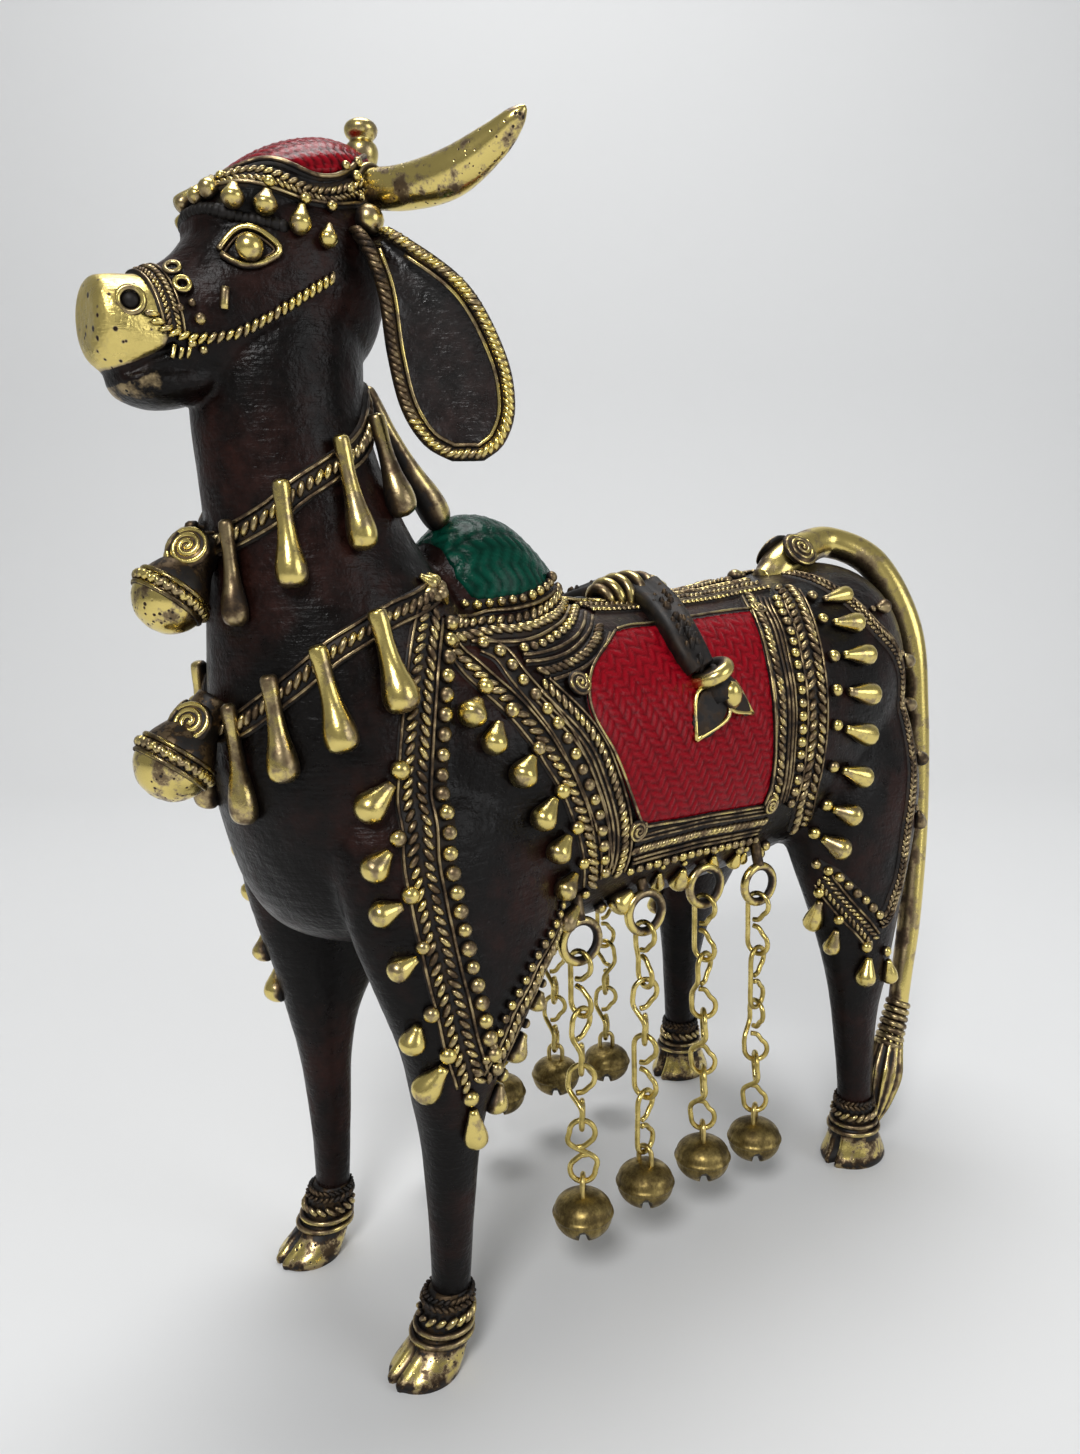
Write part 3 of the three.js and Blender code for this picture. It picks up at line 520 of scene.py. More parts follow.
def bell_brass():
    """Aged bell brass: brown film with rubbed gold patches and fine scratches."""
    paint = Paint("bell_brass")
    rubbed = paint.sum(paint.attribute("polish"), paint.noise(230, 5, 0.68), 1.1)
    scratches = paint.noise(420, 4, 0.75, (1.0, 1.0, 0.25))
    rubbed = paint.sum(paint.sum(rubbed, -0.84), scratches, 0.7)
    stops = [
        (0.1, (0.03, 0.021, 0.009)), (0.4, (0.13, 0.093, 0.036)), (0.7, (0.36, 0.27, 0.095)),
        (1.0, (0.74, 0.58, 0.22)),
    ]
    paint.set(
        Base_Color=paint.ramp(rubbed, stops),
        Metallic=paint.band(rubbed, 0.0, 0.4, 0.5, 1.0),
        Roughness=paint.band(rubbed, 0.2, 0.9, 0.55, 0.3),
    )
    paint.bump(paint.sum(paint.noise(350, 4), paint.noise(1300, 3), 0.4), 0.45, 0.3 * MM)
    return paint.material


THREAD = thread_brass()
HIDE = hide_lacquer("hide_lacquer", 0.17)
EAR_HIDE = hide_lacquer("ear_lacquer", 0.45)
POLISHED = polished_brass()
RED = enamel("red_enamel", (0.045, 0.0003, 0.0016), (0.25, 0.0028, 0.009))
GREEN = enamel("green_enamel", (0.0007, 0.014, 0.009), (0.0025, 0.062, 0.038))
CHAIN = wire_brass()
BELL = bell_brass()


# The hide

STEP = 0.5 * MM


def fused(lofts, voxel, rounds):
    """One skin round several closed lofts, its joins softened."""
    form = Form()
    for rings in lofts:
        form.add(*loft(rings))
    points, quads, tris, _ = form.arrays()
    rough = bpy.data.objects.new("rough", mesh_from("rough", points, quads, tris))
    bpy.context.scene.collection.objects.link(rough)
    remesh = rough.modifiers.new("skin", "REMESH")
    remesh.mode = "VOXEL"
    remesh.voxel_size = voxel
    skin = rough.evaluated_get(bpy.context.evaluated_depsgraph_get()).to_mesh()
    points = np.empty(len(skin.vertices) * 3, np.float32)
    skin.vertices.foreach_get("co", points)
    points = points.reshape(-1, 3).astype(float)
    edges = np.empty(len(skin.edges) * 2, np.int32)
    skin.edges.foreach_get("vertices", edges)
    corners = np.empty(len(skin.loops), np.int32)
    skin.loops.foreach_get("vertex_index", corners)
    bpy.data.objects.remove(rough)
    edges = edges.reshape(-1, 2)
    degree = np.bincount(edges.ravel(), minlength=len(points))[:, None]
    for _ in range(rounds):
        for factor in (0.55, -0.56):  # the second puts back the size that the first takes off
            around = [
                np.bincount(edges[:, 0], points[edges[:, 1], k], len(points))
                + np.bincount(edges[:, 1], points[edges[:, 0], k], len(points))
                for k in range(3)
            ]
            points = points + factor * (np.stack(around, axis=1) / degree - points)
    return points, corners.reshape(-1, 4)


def normals_of(points, quads):
    a, b, c, d = (points[quads[:, k]] for k in range(4))
    face = np.cross(c - a, d - b)
    corners = quads.T.ravel()
    total = [np.bincount(corners, np.tile(face[:, axis], 4), len(points)) for axis in range(3)]
    return unit(np.stack(total, axis=1))


SEAM_PLACE, SEAM_SLOPE = at(-361, 0, 684), 0.72  # the upper necklace hides the seam of head and body


def above_seam(points):
    """Height above the upper necklace's slanted plane."""
    x, _, z = (points - SEAM_PLACE).T
    return (z - SEAM_SLOPE * x) / math.hypot(1, SEAM_SLOPE)


def tucked(points, normals, beyond):
    """Draws a skin in where it runs on under the other one."""
    return points - normals * (1.5 * MM * step_between(0, 2.5 * MM, beyond))[:, None]


def on_left(points):
    """The points, with those of the right side mirrored to the left."""
    return np.stack([points[:, 0], -np.abs(points[:, 1]), points[:, 2]], axis=1)


def distance_to(points, run):
    """Each point's distance to the nearest place of a run."""
    nearest = np.full(len(points), 1.0)
    for place in run:
        nearest = np.minimum(nearest, np.linalg.norm(points - place, axis=1))
    return nearest


BODY_VOXEL, BODY_ROUNDS = 1.45 * MM, 17
HEAD_VOXEL, HEAD_ROUNDS = 0.68 * MM, 11
TRUNK_FULLNESS = 2.3
EYE = (-347, 880)
EYE_WALL = at(-348, -46, 881)
SOCKET_DEPTH = 0.9 * MM
NOSTRIL = at(-428, -31, 841)
NOSTRIL_DEPTH = 2.6 * MM
MOUTH = [(-446, -4, 796), (-438, -20, 795), (-424, -29, 800), (-410, -33, 807), (-402, -34, 811)]
MOUTH_DEPTH = 1.5 * MM


def body_skin():
    """Neck, trunk, hump and legs as one skin."""
    legs = np.array(upright(HIND_LEG)), np.array(upright(FORE_LEG))
    lofts = [upright(NECK), lying(TRUNK, TRUNK_FULLNESS), lying(HUMP)]
    lofts += [leg * flip for flip in BOTH for leg in legs]
    points, quads = fused(lofts, BODY_VOXEL, BODY_ROUNDS)
    return tucked(points, normals_of(points, quads), above_seam(points)), quads


def head_skin():
    """The head on the upper neck, with nostrils, mouth and eye sockets pressed in."""
    neck = [row for row in NECK if row[0] > 600]
    lofts = [upright(neck), lying(HEAD), lying(CHIN), lying(CAP)]
    points, quads = fused(lofts, HEAD_VOXEL, HEAD_ROUNDS)
    normals = normals_of(points, quads)
    points = tucked(points, normals, -above_seam(points))
    left = on_left(points)
    near = left[:, 0] < at(-300, 0, 0)[0]
    spots = left[near]
    lips = evened(through(all_at(MOUTH)), STEP)
    oblong = np.linalg.norm((spots - EYE_WALL) * [1 / 1.6, 0.3, 1 / 1.05], axis=1)
    sunk = np.zeros(len(points))
    for depth, inner, outer, apart in (
        (NOSTRIL_DEPTH, 1.0, 2.5, np.linalg.norm(spots - NOSTRIL, axis=1)),
        (MOUTH_DEPTH, 0.3, 1.7, distance_to(spots, lips)),
        (SOCKET_DEPTH, 1.8, 4.2, oblong),
    ):
        sunk[near] += depth * (1 - step_between(inner * MM, outer * MM, apart))
    return points - normals * sunk[:, None], quads


body_points, body_quads = body_skin()
head_points, head_quads = head_skin()
SKIN = BVHTree.FromPolygons(
    np.concatenate([body_points, head_points]).tolist(),
    np.concatenate([body_quads, head_quads + len(body_points)]).tolist(),
)


def muzzle_polish(points):
    """How bare the muzzle is: in front of the noseband, above the mouth and, less so, below it."""
    x = (points[:, 0] - SHIFT) / SHARE
    z = points[:, 2] / SHARE
    mouth = np.array(MOUTH)
    lips = np.interp(x, mouth[:, 0], mouth[:, 2])
    front = step_between(-398, -410, x + 0.3 * np.abs(z - 838) - 4)
    upper = step_between(1, 6, z - lips) * (1 - 0.7 * step_between(856, 868, z))
    lower = 0.52 * step_between(-396, -416, x) * step_between(-4, -9, z - lips) * step_between(772, 780, z)
    apart = np.linalg.norm(on_left(points) - NOSTRIL, axis=1)
    return 0.93 * np.maximum(front * upper, lower) * step_between(2.0 * MM, 2.9 * MM, apart)


made(Form().add(body_points, body_quads, polish=0.0), "body", HIDE)
made(Form().add(head_points, head_quads, polish=muzzle_polish(head_points)), "head", HIDE)


# Ornaments that follow the hide. A run is a pair: its places on the hide, and the way out at each.
# Many places in the tables from here on were picked as pixels on the photograph, and a scratch script
# printed where they meet the hide. Some of them were moved since.

BED = 0.45 * MM  # the threads lie on a low bed
FAR_LEFT = -600  # where rays at the left flank start
SKIRT, SUNK = 0.5 * MM, 0.7 * MM  # how far the bed's sides run out, and how deep they go in
LEAN = {"rope": 40, "antirope": -40}
DROP_SIDES = 14


def blurred(v, reach=4):
    """A run's values, each the mean of its neighbours up to a reach away."""
    padded = np.concatenate([v[:1]] * reach + [v] + [v[-1:]] * reach)
    total = np.cumsum(np.concatenate([padded[:1] * 0, padded]), axis=0)
    return (total[2 * reach + 1 :] - total[: -2 * reach - 1]) / (2 * reach + 1)


def nearest(points):
    """The places of the hide nearest the points, and the ways out there."""
    found = [SKIN.find_nearest(Vector(p)) for p in points]
    return np.array([spot for spot, *_ in found]), np.array([out for _, out, *_ in found])


def nearest_run(points):
    """A run's nearest places on the hide, with ways out that turn smoothly along it."""
    spots, outs = nearest(points)
    return spots, unit(blurred(outs))


def on_hide(place):
    """The place of the hide nearest these shares, and the way out there."""
    (spot,), (out,) = nearest([at(*place)])
    return spot, out


def cast(start, way):
    """Where a ray first meets the hide, and the way out there."""
    spot, out, *_ = SKIN.ray_cast(Vector(start), Vector(way))
    return (None, None) if spot is None else (np.array(spot), np.array(out))


def flank(x, z):
    """The place on the left flank seen from the side at these shares, and the way out there."""
    steps = (0, 0), (9, 0), (-9, 0), (0, 9), (0, -9)
    hits = [cast(at(x + dx, FAR_LEFT, z + dz), Y) for dx, dz in steps]
    return hits[0][0], unit(sum(out for _, out in hits if out is not None))


def flank_run(places):
    """A run over the left flank through places seen from the side, as (x, z)."""
    hits = [cast(start, Y)[0] for start in evened(through([at(x, FAR_LEFT, z) for x, z in places]), STEP)]
    return evened_run(np.array([spot for spot in hits if spot is not None]))


def evened_run(points):
    """A smooth run on the hide along the points."""
    return nearest_run(evened(blurred(evened(points, STEP), 3), STEP))


def skin_run(places, closed=False):
    """A run on the hide through places given as (x, y, z)."""
    return evened_run(through(all_at(places), closed=closed))


def both_sides_run(places, closed=False):
    """A run on the hide through places on the left side and on through their mirror images."""
    return skin_run(places + [(x, -y, z) for x, y, z in places[::-1] if y], closed)


def spaced(run, pitch):
    """Places of a run a pitch apart, with the ways on, across and out at each."""
    points, outs = run
    gone = gone_along(points)
    count = max(2, round(gone[-1] / pitch) + 1)
    points = shared_out(points, gone, count)
    return (points, *ways_along(points, shared_out(outs, gone, count)))


def beside(run, offset):
    """The run moved across the hide: rearward from one that goes down, up from one that goes rearward."""
    if offset == 0:
        return run
    points, outs = run
    _, across, _ = ways_along(points, outs)
    return nearest_run(points + across * offset)


def line(form, run, width, rise=BED, shine=0.62):
    points, outs = run
    points, outs = points[::2], outs[::2]
    tube(form, points + outs * (rise + width * 0.2), width / 2, 6, outs=outs, shine=shine)


def rope(form, run, width, lean, rise=BED, shine=0.74, pitch=0.66):
    """A row of slanting grains, like the strands of a twisted cord."""
    points, way, across, out = spaced(run, pitch * width)
    count = (len(points), 1)
    turn = math.radians(lean) + rng.normal(0, 0.07, count)
    size = 1 + rng.normal(0, 0.06, count)
    a = (np.cos(turn) * way + np.sin(turn) * across) * (0.60 * width) * size
    b = (np.cos(turn) * across - np.sin(turn) * way) * (0.25 * width)
    c = out * (0.30 * width) * size
    scatter(form, GRAIN, points + out * (rise + 0.06 * width), a, b, c, shine)


def chevron(form, run, width, shine=0.74, rise=BED):
    for sign in (1, -1):
        rope(form, beside(run, sign * width / 4), width / 2, sign * LEAN["rope"], rise, shine, pitch=0.74)


def beads(form, run, width, gap, rise=BED, shine=0.86):
    points, way, across, out = spaced(run, width * gap)
    size = 1 + rng.normal(0, 0.05, (len(points), 1))
    half = width / 2 * size
    centres = points + out * (rise + 0.12 * width)
    scatter(form, BALL, centres, way * half, across * half, out * half * 0.92, shine)


def bed(form, run, near, far, rise=BED):
    """The low dark strip that a border's threads lie on, between two offsets from its run."""
    columns = []
    offsets = near - SKIRT, near, (near + far) / 2, far, far + SKIRT
    for offset, lift in zip(offsets, (-SUNK, rise, rise, rise, -SUNK)):
        points, outs = beside(run, offset)
        columns.append((points + outs * lift)[::2])
    grid = np.stack(columns, axis=1)
    form.add(grid, grid_faces(*grid.shape[:2])[:, ::-1], polish=0.1)


def border(form, run, lanes, rise=BED, gap=1.2):
    """Threads side by side along a run: rows of (kind, offset, width), in millimetres."""
    edges = [(offset - width / 2, offset + width / 2) for _, offset, width in lanes]
    bed(form, run, min(a for a, _ in edges) * MM, max(b for _, b in edges) * MM, rise)
    for kind, offset, width in lanes:
        lane = beside(run, offset * MM)
        if kind == "line":
            line(form, lane, width * MM, rise)
        elif kind == "beads":
            beads(form, lane, width * MM, gap, rise)
        elif kind == "chevron":
            chevron(form, lane, width * MM, rise=rise)
        else:
            rope(form, lane, width * MM, LEAN[kind], rise)


def tear(length, width):
    """A drop that widens from its thin end to a ball: rows of (part of the length, part of the width)."""
    middle = 1 - min(width / length, 1.2) / 2
    cone = [(t * middle, 0.30 + 0.70 * step_between(-0.15, 1.1, t)) for t in np.linspace(0, 0.9, 7)]
    ball = [(middle + (1 - middle) * math.sin(a), math.cos(a)) for a in np.linspace(0.12, 1.5, 8)]
    return cone + ball


def drop(form, start, end, out, width, profile=(), sink=0.45, shine=1.0):
    """A cast drop from its thin end to its thick end, partly sunk in what it lies on."""
    length = np.linalg.norm(end - start)
    stations = through(profile, 3) if profile else tear(length, width)
    way = unit(end - start)
    across = unit(np.cross(out, way))
    out = np.cross(way, across)
    around = all_round(DROP_SIDES, across, out)
    rings = []
    for t, r in stations:
        radius = max(r, 0.02) * width / 2
        centre = start + way * t * length + out * (0.25 * radius + (0.75 - sink) * width / 2)
        rings.append(centre + radius * around)
    points, quads, tris = loft(rings)
    up = np.concatenate([np.tile(around @ out, len(rings)), [0.3, 0.3]])
    form.add(points, quads, tris, shine * step_between(-0.9, 0.15, up))


def bead(form, place, out, width, shine=1.0, flat=0.9):
    side, other = square_to(out, Z, X)
    half = width / 2
    scatter(form, BALL, place + out * half * 0.45, side * half, other * half, out * half * flat, shine)


def hide_beads(form, rows, rise, shine, flip=1):
    """Beads where rows of (x, y, z, width) come nearest the hide; widths and rise in millimetres."""
    for *place, width in rows:
        spot, out = on_hide(place)
        bead(form, (spot + out * rise * MM) * flip, out * flip, width * MM, shine)


def ring_thread(form, centre, axis, radius, width, shine=0.8, sides=8, steps=40, flat=False):
    """A round wire; it is polished on its outside or, where it lies flat on the hide, on its upper face."""
    outs = all_round(steps, *square_to(axis, X, Y, 0.8))
    tops = np.tile(axis, (steps, 1)) if flat else outs
    tube(form, centre + outs * radius, width / 2, sides, closed=True, outs=tops, shine=shine)


def ring_rope(form, centre, axis, radius, width, shine=0.85):
    side, other = square_to(axis, X, Y, 0.8)
    count = round(2 * np.pi * radius / (0.72 * width))
    out, way = all_round(count, side, other), all_round(count, other, -side)
    tilt = math.radians(42)
    a, b = turned(tilt, way, axis) * (0.62 * width), turned(tilt, axis, -way) * (0.34 * width)
    scatter(form, GRAIN, centre + out * radius, a, b, out * (0.45 * width), shine)


def spiral(form, centre, out, radius, wire, turns=2.6, dome=0.3, shine=0.9):
    """A wound wire on a small dome, ending in its middle."""
    side, other = square_to(out, Z, X)
    t = np.linspace(0.06, 1, round(turns * 22))
    flat = turned(2 * np.pi * turns * t, side, other) * (radius * t)[:, None]
    points = centre + flat + np.outer(dome * radius * (1 - t**2), out)
    tube(form, points, wire / 2, 7, outs=np.tile(out, (len(t), 1)), shine=shine)
    scatter(form, BALL, centre, side * radius, other * radius, out * radius * dome, 0.35)


def beaded_drop(form, bead_place, start, end, bead_width, width, shine=1.0):
    """A bead beside a border and the drop that hangs from it; the two widths in millimetres."""
    spots, outs = nearest(all_at((bead_place, start, end)))
    bead(form, spots[0], outs[0], bead_width * MM, shine)
    drop(form, spots[1], spots[2], unit(outs.sum(axis=0)), width * MM, sink=0.4, shine=shine)


def hung_drop(form, top, foot, width, foot_rise, flip, **kind):
    """A drop between the places of the hide nearest two others, its thin end a little over the hide."""
    (start, end), outs = nearest(all_at((top, foot)))
    out = unit(outs.sum(axis=0))
    drop(form, (start + out * 0.8 * MM) * flip, (end + out * foot_rise) * flip, out * flip, width, **kind)


# The shoulder flap

FLAP_FRONT = [
    (-229, 624), (-243, 595), (-253, 565), (-261, 532), (-266, 502), (-268, 470), (-271, 444), (-268, 412),
    (-264, 381), (-260, 353), (-255, 328), (-250, 298), (-240, 262),
]
FLAP_REAR = [(-233, 262), (-214, 287), (-201, 307), (-184, 323), (-172, 337), (-151, 350), (-130, 363)]
FLAP_DROPS = [
    ((-282, -110, 512), (-288, -108, 503), (-312, -98, 478), 4.5, 7.4),
    ((-290, -117, 462), (-296, -116, 454), (-313, -108, 434), 3.9, 6.6),
    ((-286, -125, 420), (-291, -123, 413), (-313, -110, 405), 4.2, 6.0),
    ((-280, -130, 379), (-284, -129, 372), (-303, -117, 360), 3.3, 5.6),
    ((-276, -133, 326), (-284, -128, 319), (-287, -119, 296), 3.8, 6.2),
    ((-265, -137, 291), (-266, -136, 283), (-278, -116, 255), 4.0, 7.0),
    ((-247, -139, 250), (-245, -137, 240), (-239, -130, 204), 3.8, 5.7),
    ((-207, -128, 251), (-206, -127, 241), (-210, -124, 217), 3.3, 5.7),
    ((-178, -128, 285), (-181, -126, 278), (-186, -122, 250), 2.4, 6.0),
    ((-155, -125, 312), (-157, -125, 306), (-162, -122, 288), 2.2, 5.0),
]
FLAP_FRONT_LANES = [("line", -5.1, 0.8), ("chevron", -1.4, 6.4), ("line", 2.4, 0.9), ("beads", 4.9, 3.6)]
FLAP_REAR_LANES = [("line", -2.4, 0.8), ("rope", -0.4, 3.0), ("line", 1.6, 0.8)]


def flap():
    form = Form()
    border(form, flank_run(FLAP_FRONT), FLAP_FRONT_LANES)
    rear = flank_run(FLAP_REAR)
    border(form, rear, FLAP_REAR_LANES)
    beads(form, beside(rear, 3.6 * MM), 2.2 * MM, gap=1.5)
    for place in FLAP_DROPS:
        beaded_drop(form, *place)
    made(form.both_sides(), "flap_threads", THREAD)


# The yoke below the hump, and the saddle blanket

YOKE = [
    ("beads", 2.4, [
        (-175, -45, 626), (-165, -50, 625), (-155, -54, 627), (-143, -57, 628), (-133, -58, 629),
        (-120, -58, 630), (-106, -56, 634), (-94, -52, 637), (-84, -46, 641),
    ]),
    ("line", 1.2, [
        (-200, -70, 618), (-182, -62, 618), (-163, -56, 619), (-140, -57, 620), (-113, -58, 624),
        (-89, -51, 630), (-74, -42, 636),
    ]),
    ("chevron", 7.4, [
        (-216, -84, 609), (-190, -74, 608), (-164, -72, 609), (-138, -72, 608), (-111, -66, 612),
        (-84, -54, 619), (-62, -38, 628),
    ]),
    ("line", 1.1, [
        (-196, -84, 600), (-168, -88, 596), (-143, -88, 595), (-117, -83, 600), (-86, -69, 608),
        (-53, -38, 617),
    ]),
    ("beads", 2.5, [
        (-152, -94, 590), (-133, -93, 591), (-108, -86, 597), (-92, -79, 602), (-76, -68, 607),
        (-52, -45, 614),
    ]),
    ("line", 1.1, [
        (-156, -98, 585), (-136, -98, 585), (-115, -96, 588), (-90, -88, 594), (-68, -74, 603),
        (-48, -54, 611),
    ]),
    ("line", 1.1, [
        (-157, -102, 580), (-134, -103, 580), (-112, -101, 583), (-90, -94, 590), (-67, -81, 599),
        (-46, -61, 608),
    ]),
    ("antirope", 3.1, [
        (-144, -109, 572), (-127, -108, 573), (-108, -106, 577), (-90, -101, 582), (-70, -92, 591),
        (-52, -77, 601),
    ]),
    ("line", 1.1, [
        (-137, -113, 565), (-119, -112, 567), (-97, -109, 572), (-76, -103, 580), (-59, -94, 588),
        (-45, -83, 596),
    ]),
]
FRONT_ROPE = [
    (-219, -88, 600), (-211, -92, 590), (-198, -103, 570), (-179, -116, 548), (-160, -126, 522),
    (-149, -130, 503), (-139, -132, 488), (-129, -132, 468), (-124, -132, 456), (-116, -131, 439),
    (-107, -126, 415), (-98, -115, 386),
]
FRONT_BEADS = [
    (-187, -85, 596), (-174, -94, 588), (-167, -108, 570), (-155, -118, 551), (-139, -127, 526),
    (-127, -132, 501), (-115, -133, 475), (-107, -134, 456), (-101, -132, 435), (-94, -126, 412),
    (-88, -120, 396),
]
INNER_ROPE = [
    (-146, -114, 564), (-135, -119, 551), (-116, -127, 530), (-102, -132, 509), (-93, -134, 488),
    (-85, -135, 467), (-77, -133, 443), (-73, -130, 423), (-71, -127, 405), (-72, -121, 390),
]
LOWER_ROPE = [
    (-60, -127, 410), (-45, -127, 411), (-26, -128, 411), (-1, -128, 411), (25, -128, 411),
    (54, -127, 409), (83, -126, 407), (118, -124, 405),
]
REAR_BEADS = [
    (196, -71, 612), (185, -85, 603), (175, -105, 584), (165, -120, 560), (160, -131, 530),
    (157, -135, 504), (154, -137, 476), (153, -135, 446), (150, -129, 418),
]
REAR_CHEVRON = [
    (230, -60, 620), (211, -92, 602), (199, -110, 580), (190, -126, 552), (185, -136, 518),
    (182, -139, 481), (179, -137, 448), (180, -129, 416), (193, -112, 387),
]
BLANKET_BORDERS = [
    (FRONT_ROPE, [("line", -2.5, 0.8), ("rope", 0, 3.8), ("line", 2.5, 0.8)]),
    (FRONT_BEADS, [("line", -2.4, 0.8), ("beads", 0, 3.1), ("line", 2.3, 0.8)]),
    (INNER_ROPE, [
        ("line", -5.0, 0.9), ("line", -3.6, 0.9), ("line", -2.2, 0.9), ("antirope", 0, 3.1),
        ("line", 2.1, 0.8),
    ]),
    (LOWER_ROPE, [
        ("line", 4.0, 0.8), ("line", 2.8, 0.8), ("rope", 0.3, 3.0), ("line", -2.2, 1.0),
        ("line", -3.5, 1.0), ("beads", -5.7, 2.5),
    ]),
    (REAR_BEADS, [
        ("line", -9.9, 0.8), ("rope", -7.7, 3.4), ("line", -5.1, 1.1), ("line", -3.6, 1.1),
        ("line", -2.2, 0.8), ("beads", 0, 2.9), ("line", 2.3, 0.9),
    ]),
    (REAR_CHEVRON, [("chevron", -1.5, 7.6), ("line", 2.8, 0.8)]),
]
BACK_LINES = [(-34, -36), (20, -35), (70, -33), (120, -32), (170, -33), (212, -38)]
BACK_LANES = [
    ("beads", -3.6, 1.5), ("line", -2.1, 0.9), ("line", -0.8, 0.9), ("rope", 1.4, 2.8), ("line", 3.6, 0.9),
    ("antirope", 6.2, 3.2),
]
PANEL_FRONT = [
    (-39, 596), (-58, 588), (-76, 580), (-91, 571), (-101, 560), (-106, 547), (-105, 533), (-98, 519),
    (-90, 506), (-83, 491), (-76, 475), (-68, 457), (-61, 444), (-56, 433),
]
PANEL_LOWER = [(-56, 433), (-31, 432), (0, 430), (30, 429), (60, 427), (92, 425), (107, 424)]
PANEL_REAR = [
    (107, 424), (113, 440), (116, 465), (117, 495), (119, 522), (123, 547), (129, 567), (140, 589),
    (152, 604),
]
PANEL_TOP = [(-39, 596), (-15, 598), (15, 598), (50, 600), (80, 601), (118, 603), (152, 604)]
PANEL_BUTTONS = [(-112, 560, 3.2), (-61, 431, 2.9), (118, 424, 2.7), (160, 604, 2.4)]
BLANKET_DROPS = [
    ((-200, -107, 565), (-208, -109, 556), (-224, -112, 537), 4.0, 7.0),
    ((-183, -118, 546), (-196, -118, 539), (-208, -120, 514), 3.8, 6.2),
    ((-164, -127, 515), (-171, -127, 510), (-189, -126, 488), 3.6, 6.8),
    ((-144, -131, 478), (-152, -131, 474), (-171, -127, 451), 4.0, 6.4),
    ((-128, -131, 445), (-137, -130, 441), (-154, -125, 421), 3.6, 6.2),
    ((-116, -125, 411), (-124, -122, 403), (-145, -123, 387), 3.1, 5.6),
    ((-101, -110, 378), (-106, -106, 372), (-126, -112, 352), 2.6, 5.2),
]
EDGE_DROPS = [
    ((-66, -92, 352), (-42, -106, 368), (-58, -100, 343), 3.4, 6.8),
    ((-12, -114, 386), (-14, -113, 379), (-5, -102, 358), 1.6, 3.8),
    ((18, -113, 383), (18, -111, 377), (24, -102, 348), 1.8, 5.6),
    ((58, -115, 387), (58, -113, 382), (64, -106, 360), 1.8, 4.4),
    ((98, -110, 380), (100, -108, 374), (103, -102, 350), 3.0, 4.4),
    ((112, -108, 376), (114, -106, 370), (118, -100, 352), 2.0, 3.6),
    ((144, -105, 372), (144, -104, 368), (147, -98, 352), 3.4, 3.6),
]


def saddle_threads():
    form = Form()
    for kind, width, places in YOKE:
        border(form, skin_run(places), [(kind, 0, width)])
    for places, lanes in BLANKET_BORDERS:
        border(form, skin_run(places), lanes, gap=1.3 if places is FRONT_BEADS else 1.2)
    over = [cast(at(x, y, 900), -Z)[0] for x, y in evened(through(BACK_LINES), 4)]
    border(form, evened_run(np.array(over)), BACK_LANES)
    for place in BLANKET_DROPS + EDGE_DROPS:
        beaded_drop(form, *place)
    for x, z, radius in PANEL_BUTTONS:
        spot, out = flank(x, z)
        spiral(form, spot + out * MM, out, radius * MM, 0.9 * MM)
    made(form.both_sides(), "saddle_threads", THREAD)


def woven(p, q, column, pitch):
    """Height from 0 to 1 of slanting grains in columns, each column leaning the other way."""
    lane = np.floor(p / column)
    within = p / column - lane
    lean = np.where(lane % 2 == 0, 0.75, -0.75)
    grain = 0.5 + 0.5 * np.cos(2 * np.pi * (q + lean * (within - 0.5) * column) / pitch)
    return grain**0.6 * np.sin(np.pi * within) ** 0.4


def shared_curve(places, count):
    curve = through(places)
    return shared_out(curve, gone_along(curve), count)


def between(lower, top, front, rear):
    """A grid of places that fills the space between four edges."""
    u = np.linspace(0, 1, len(lower))[None, :, None]
    v = np.linspace(0, 1, len(front))[:, None, None]
    grid = (1 - v) * lower + v * top + (1 - u) * front[:, None] + u * rear[:, None]
    grid -= (1 - v) * ((1 - u) * lower[0] + u * lower[-1])
    return grid - v * ((1 - u) * top[0] + u * top[-1])


# The field's length and height in steps of about 1.7 mm; the weave fades out over the outer two
PANEL_STEPS = 42, 29


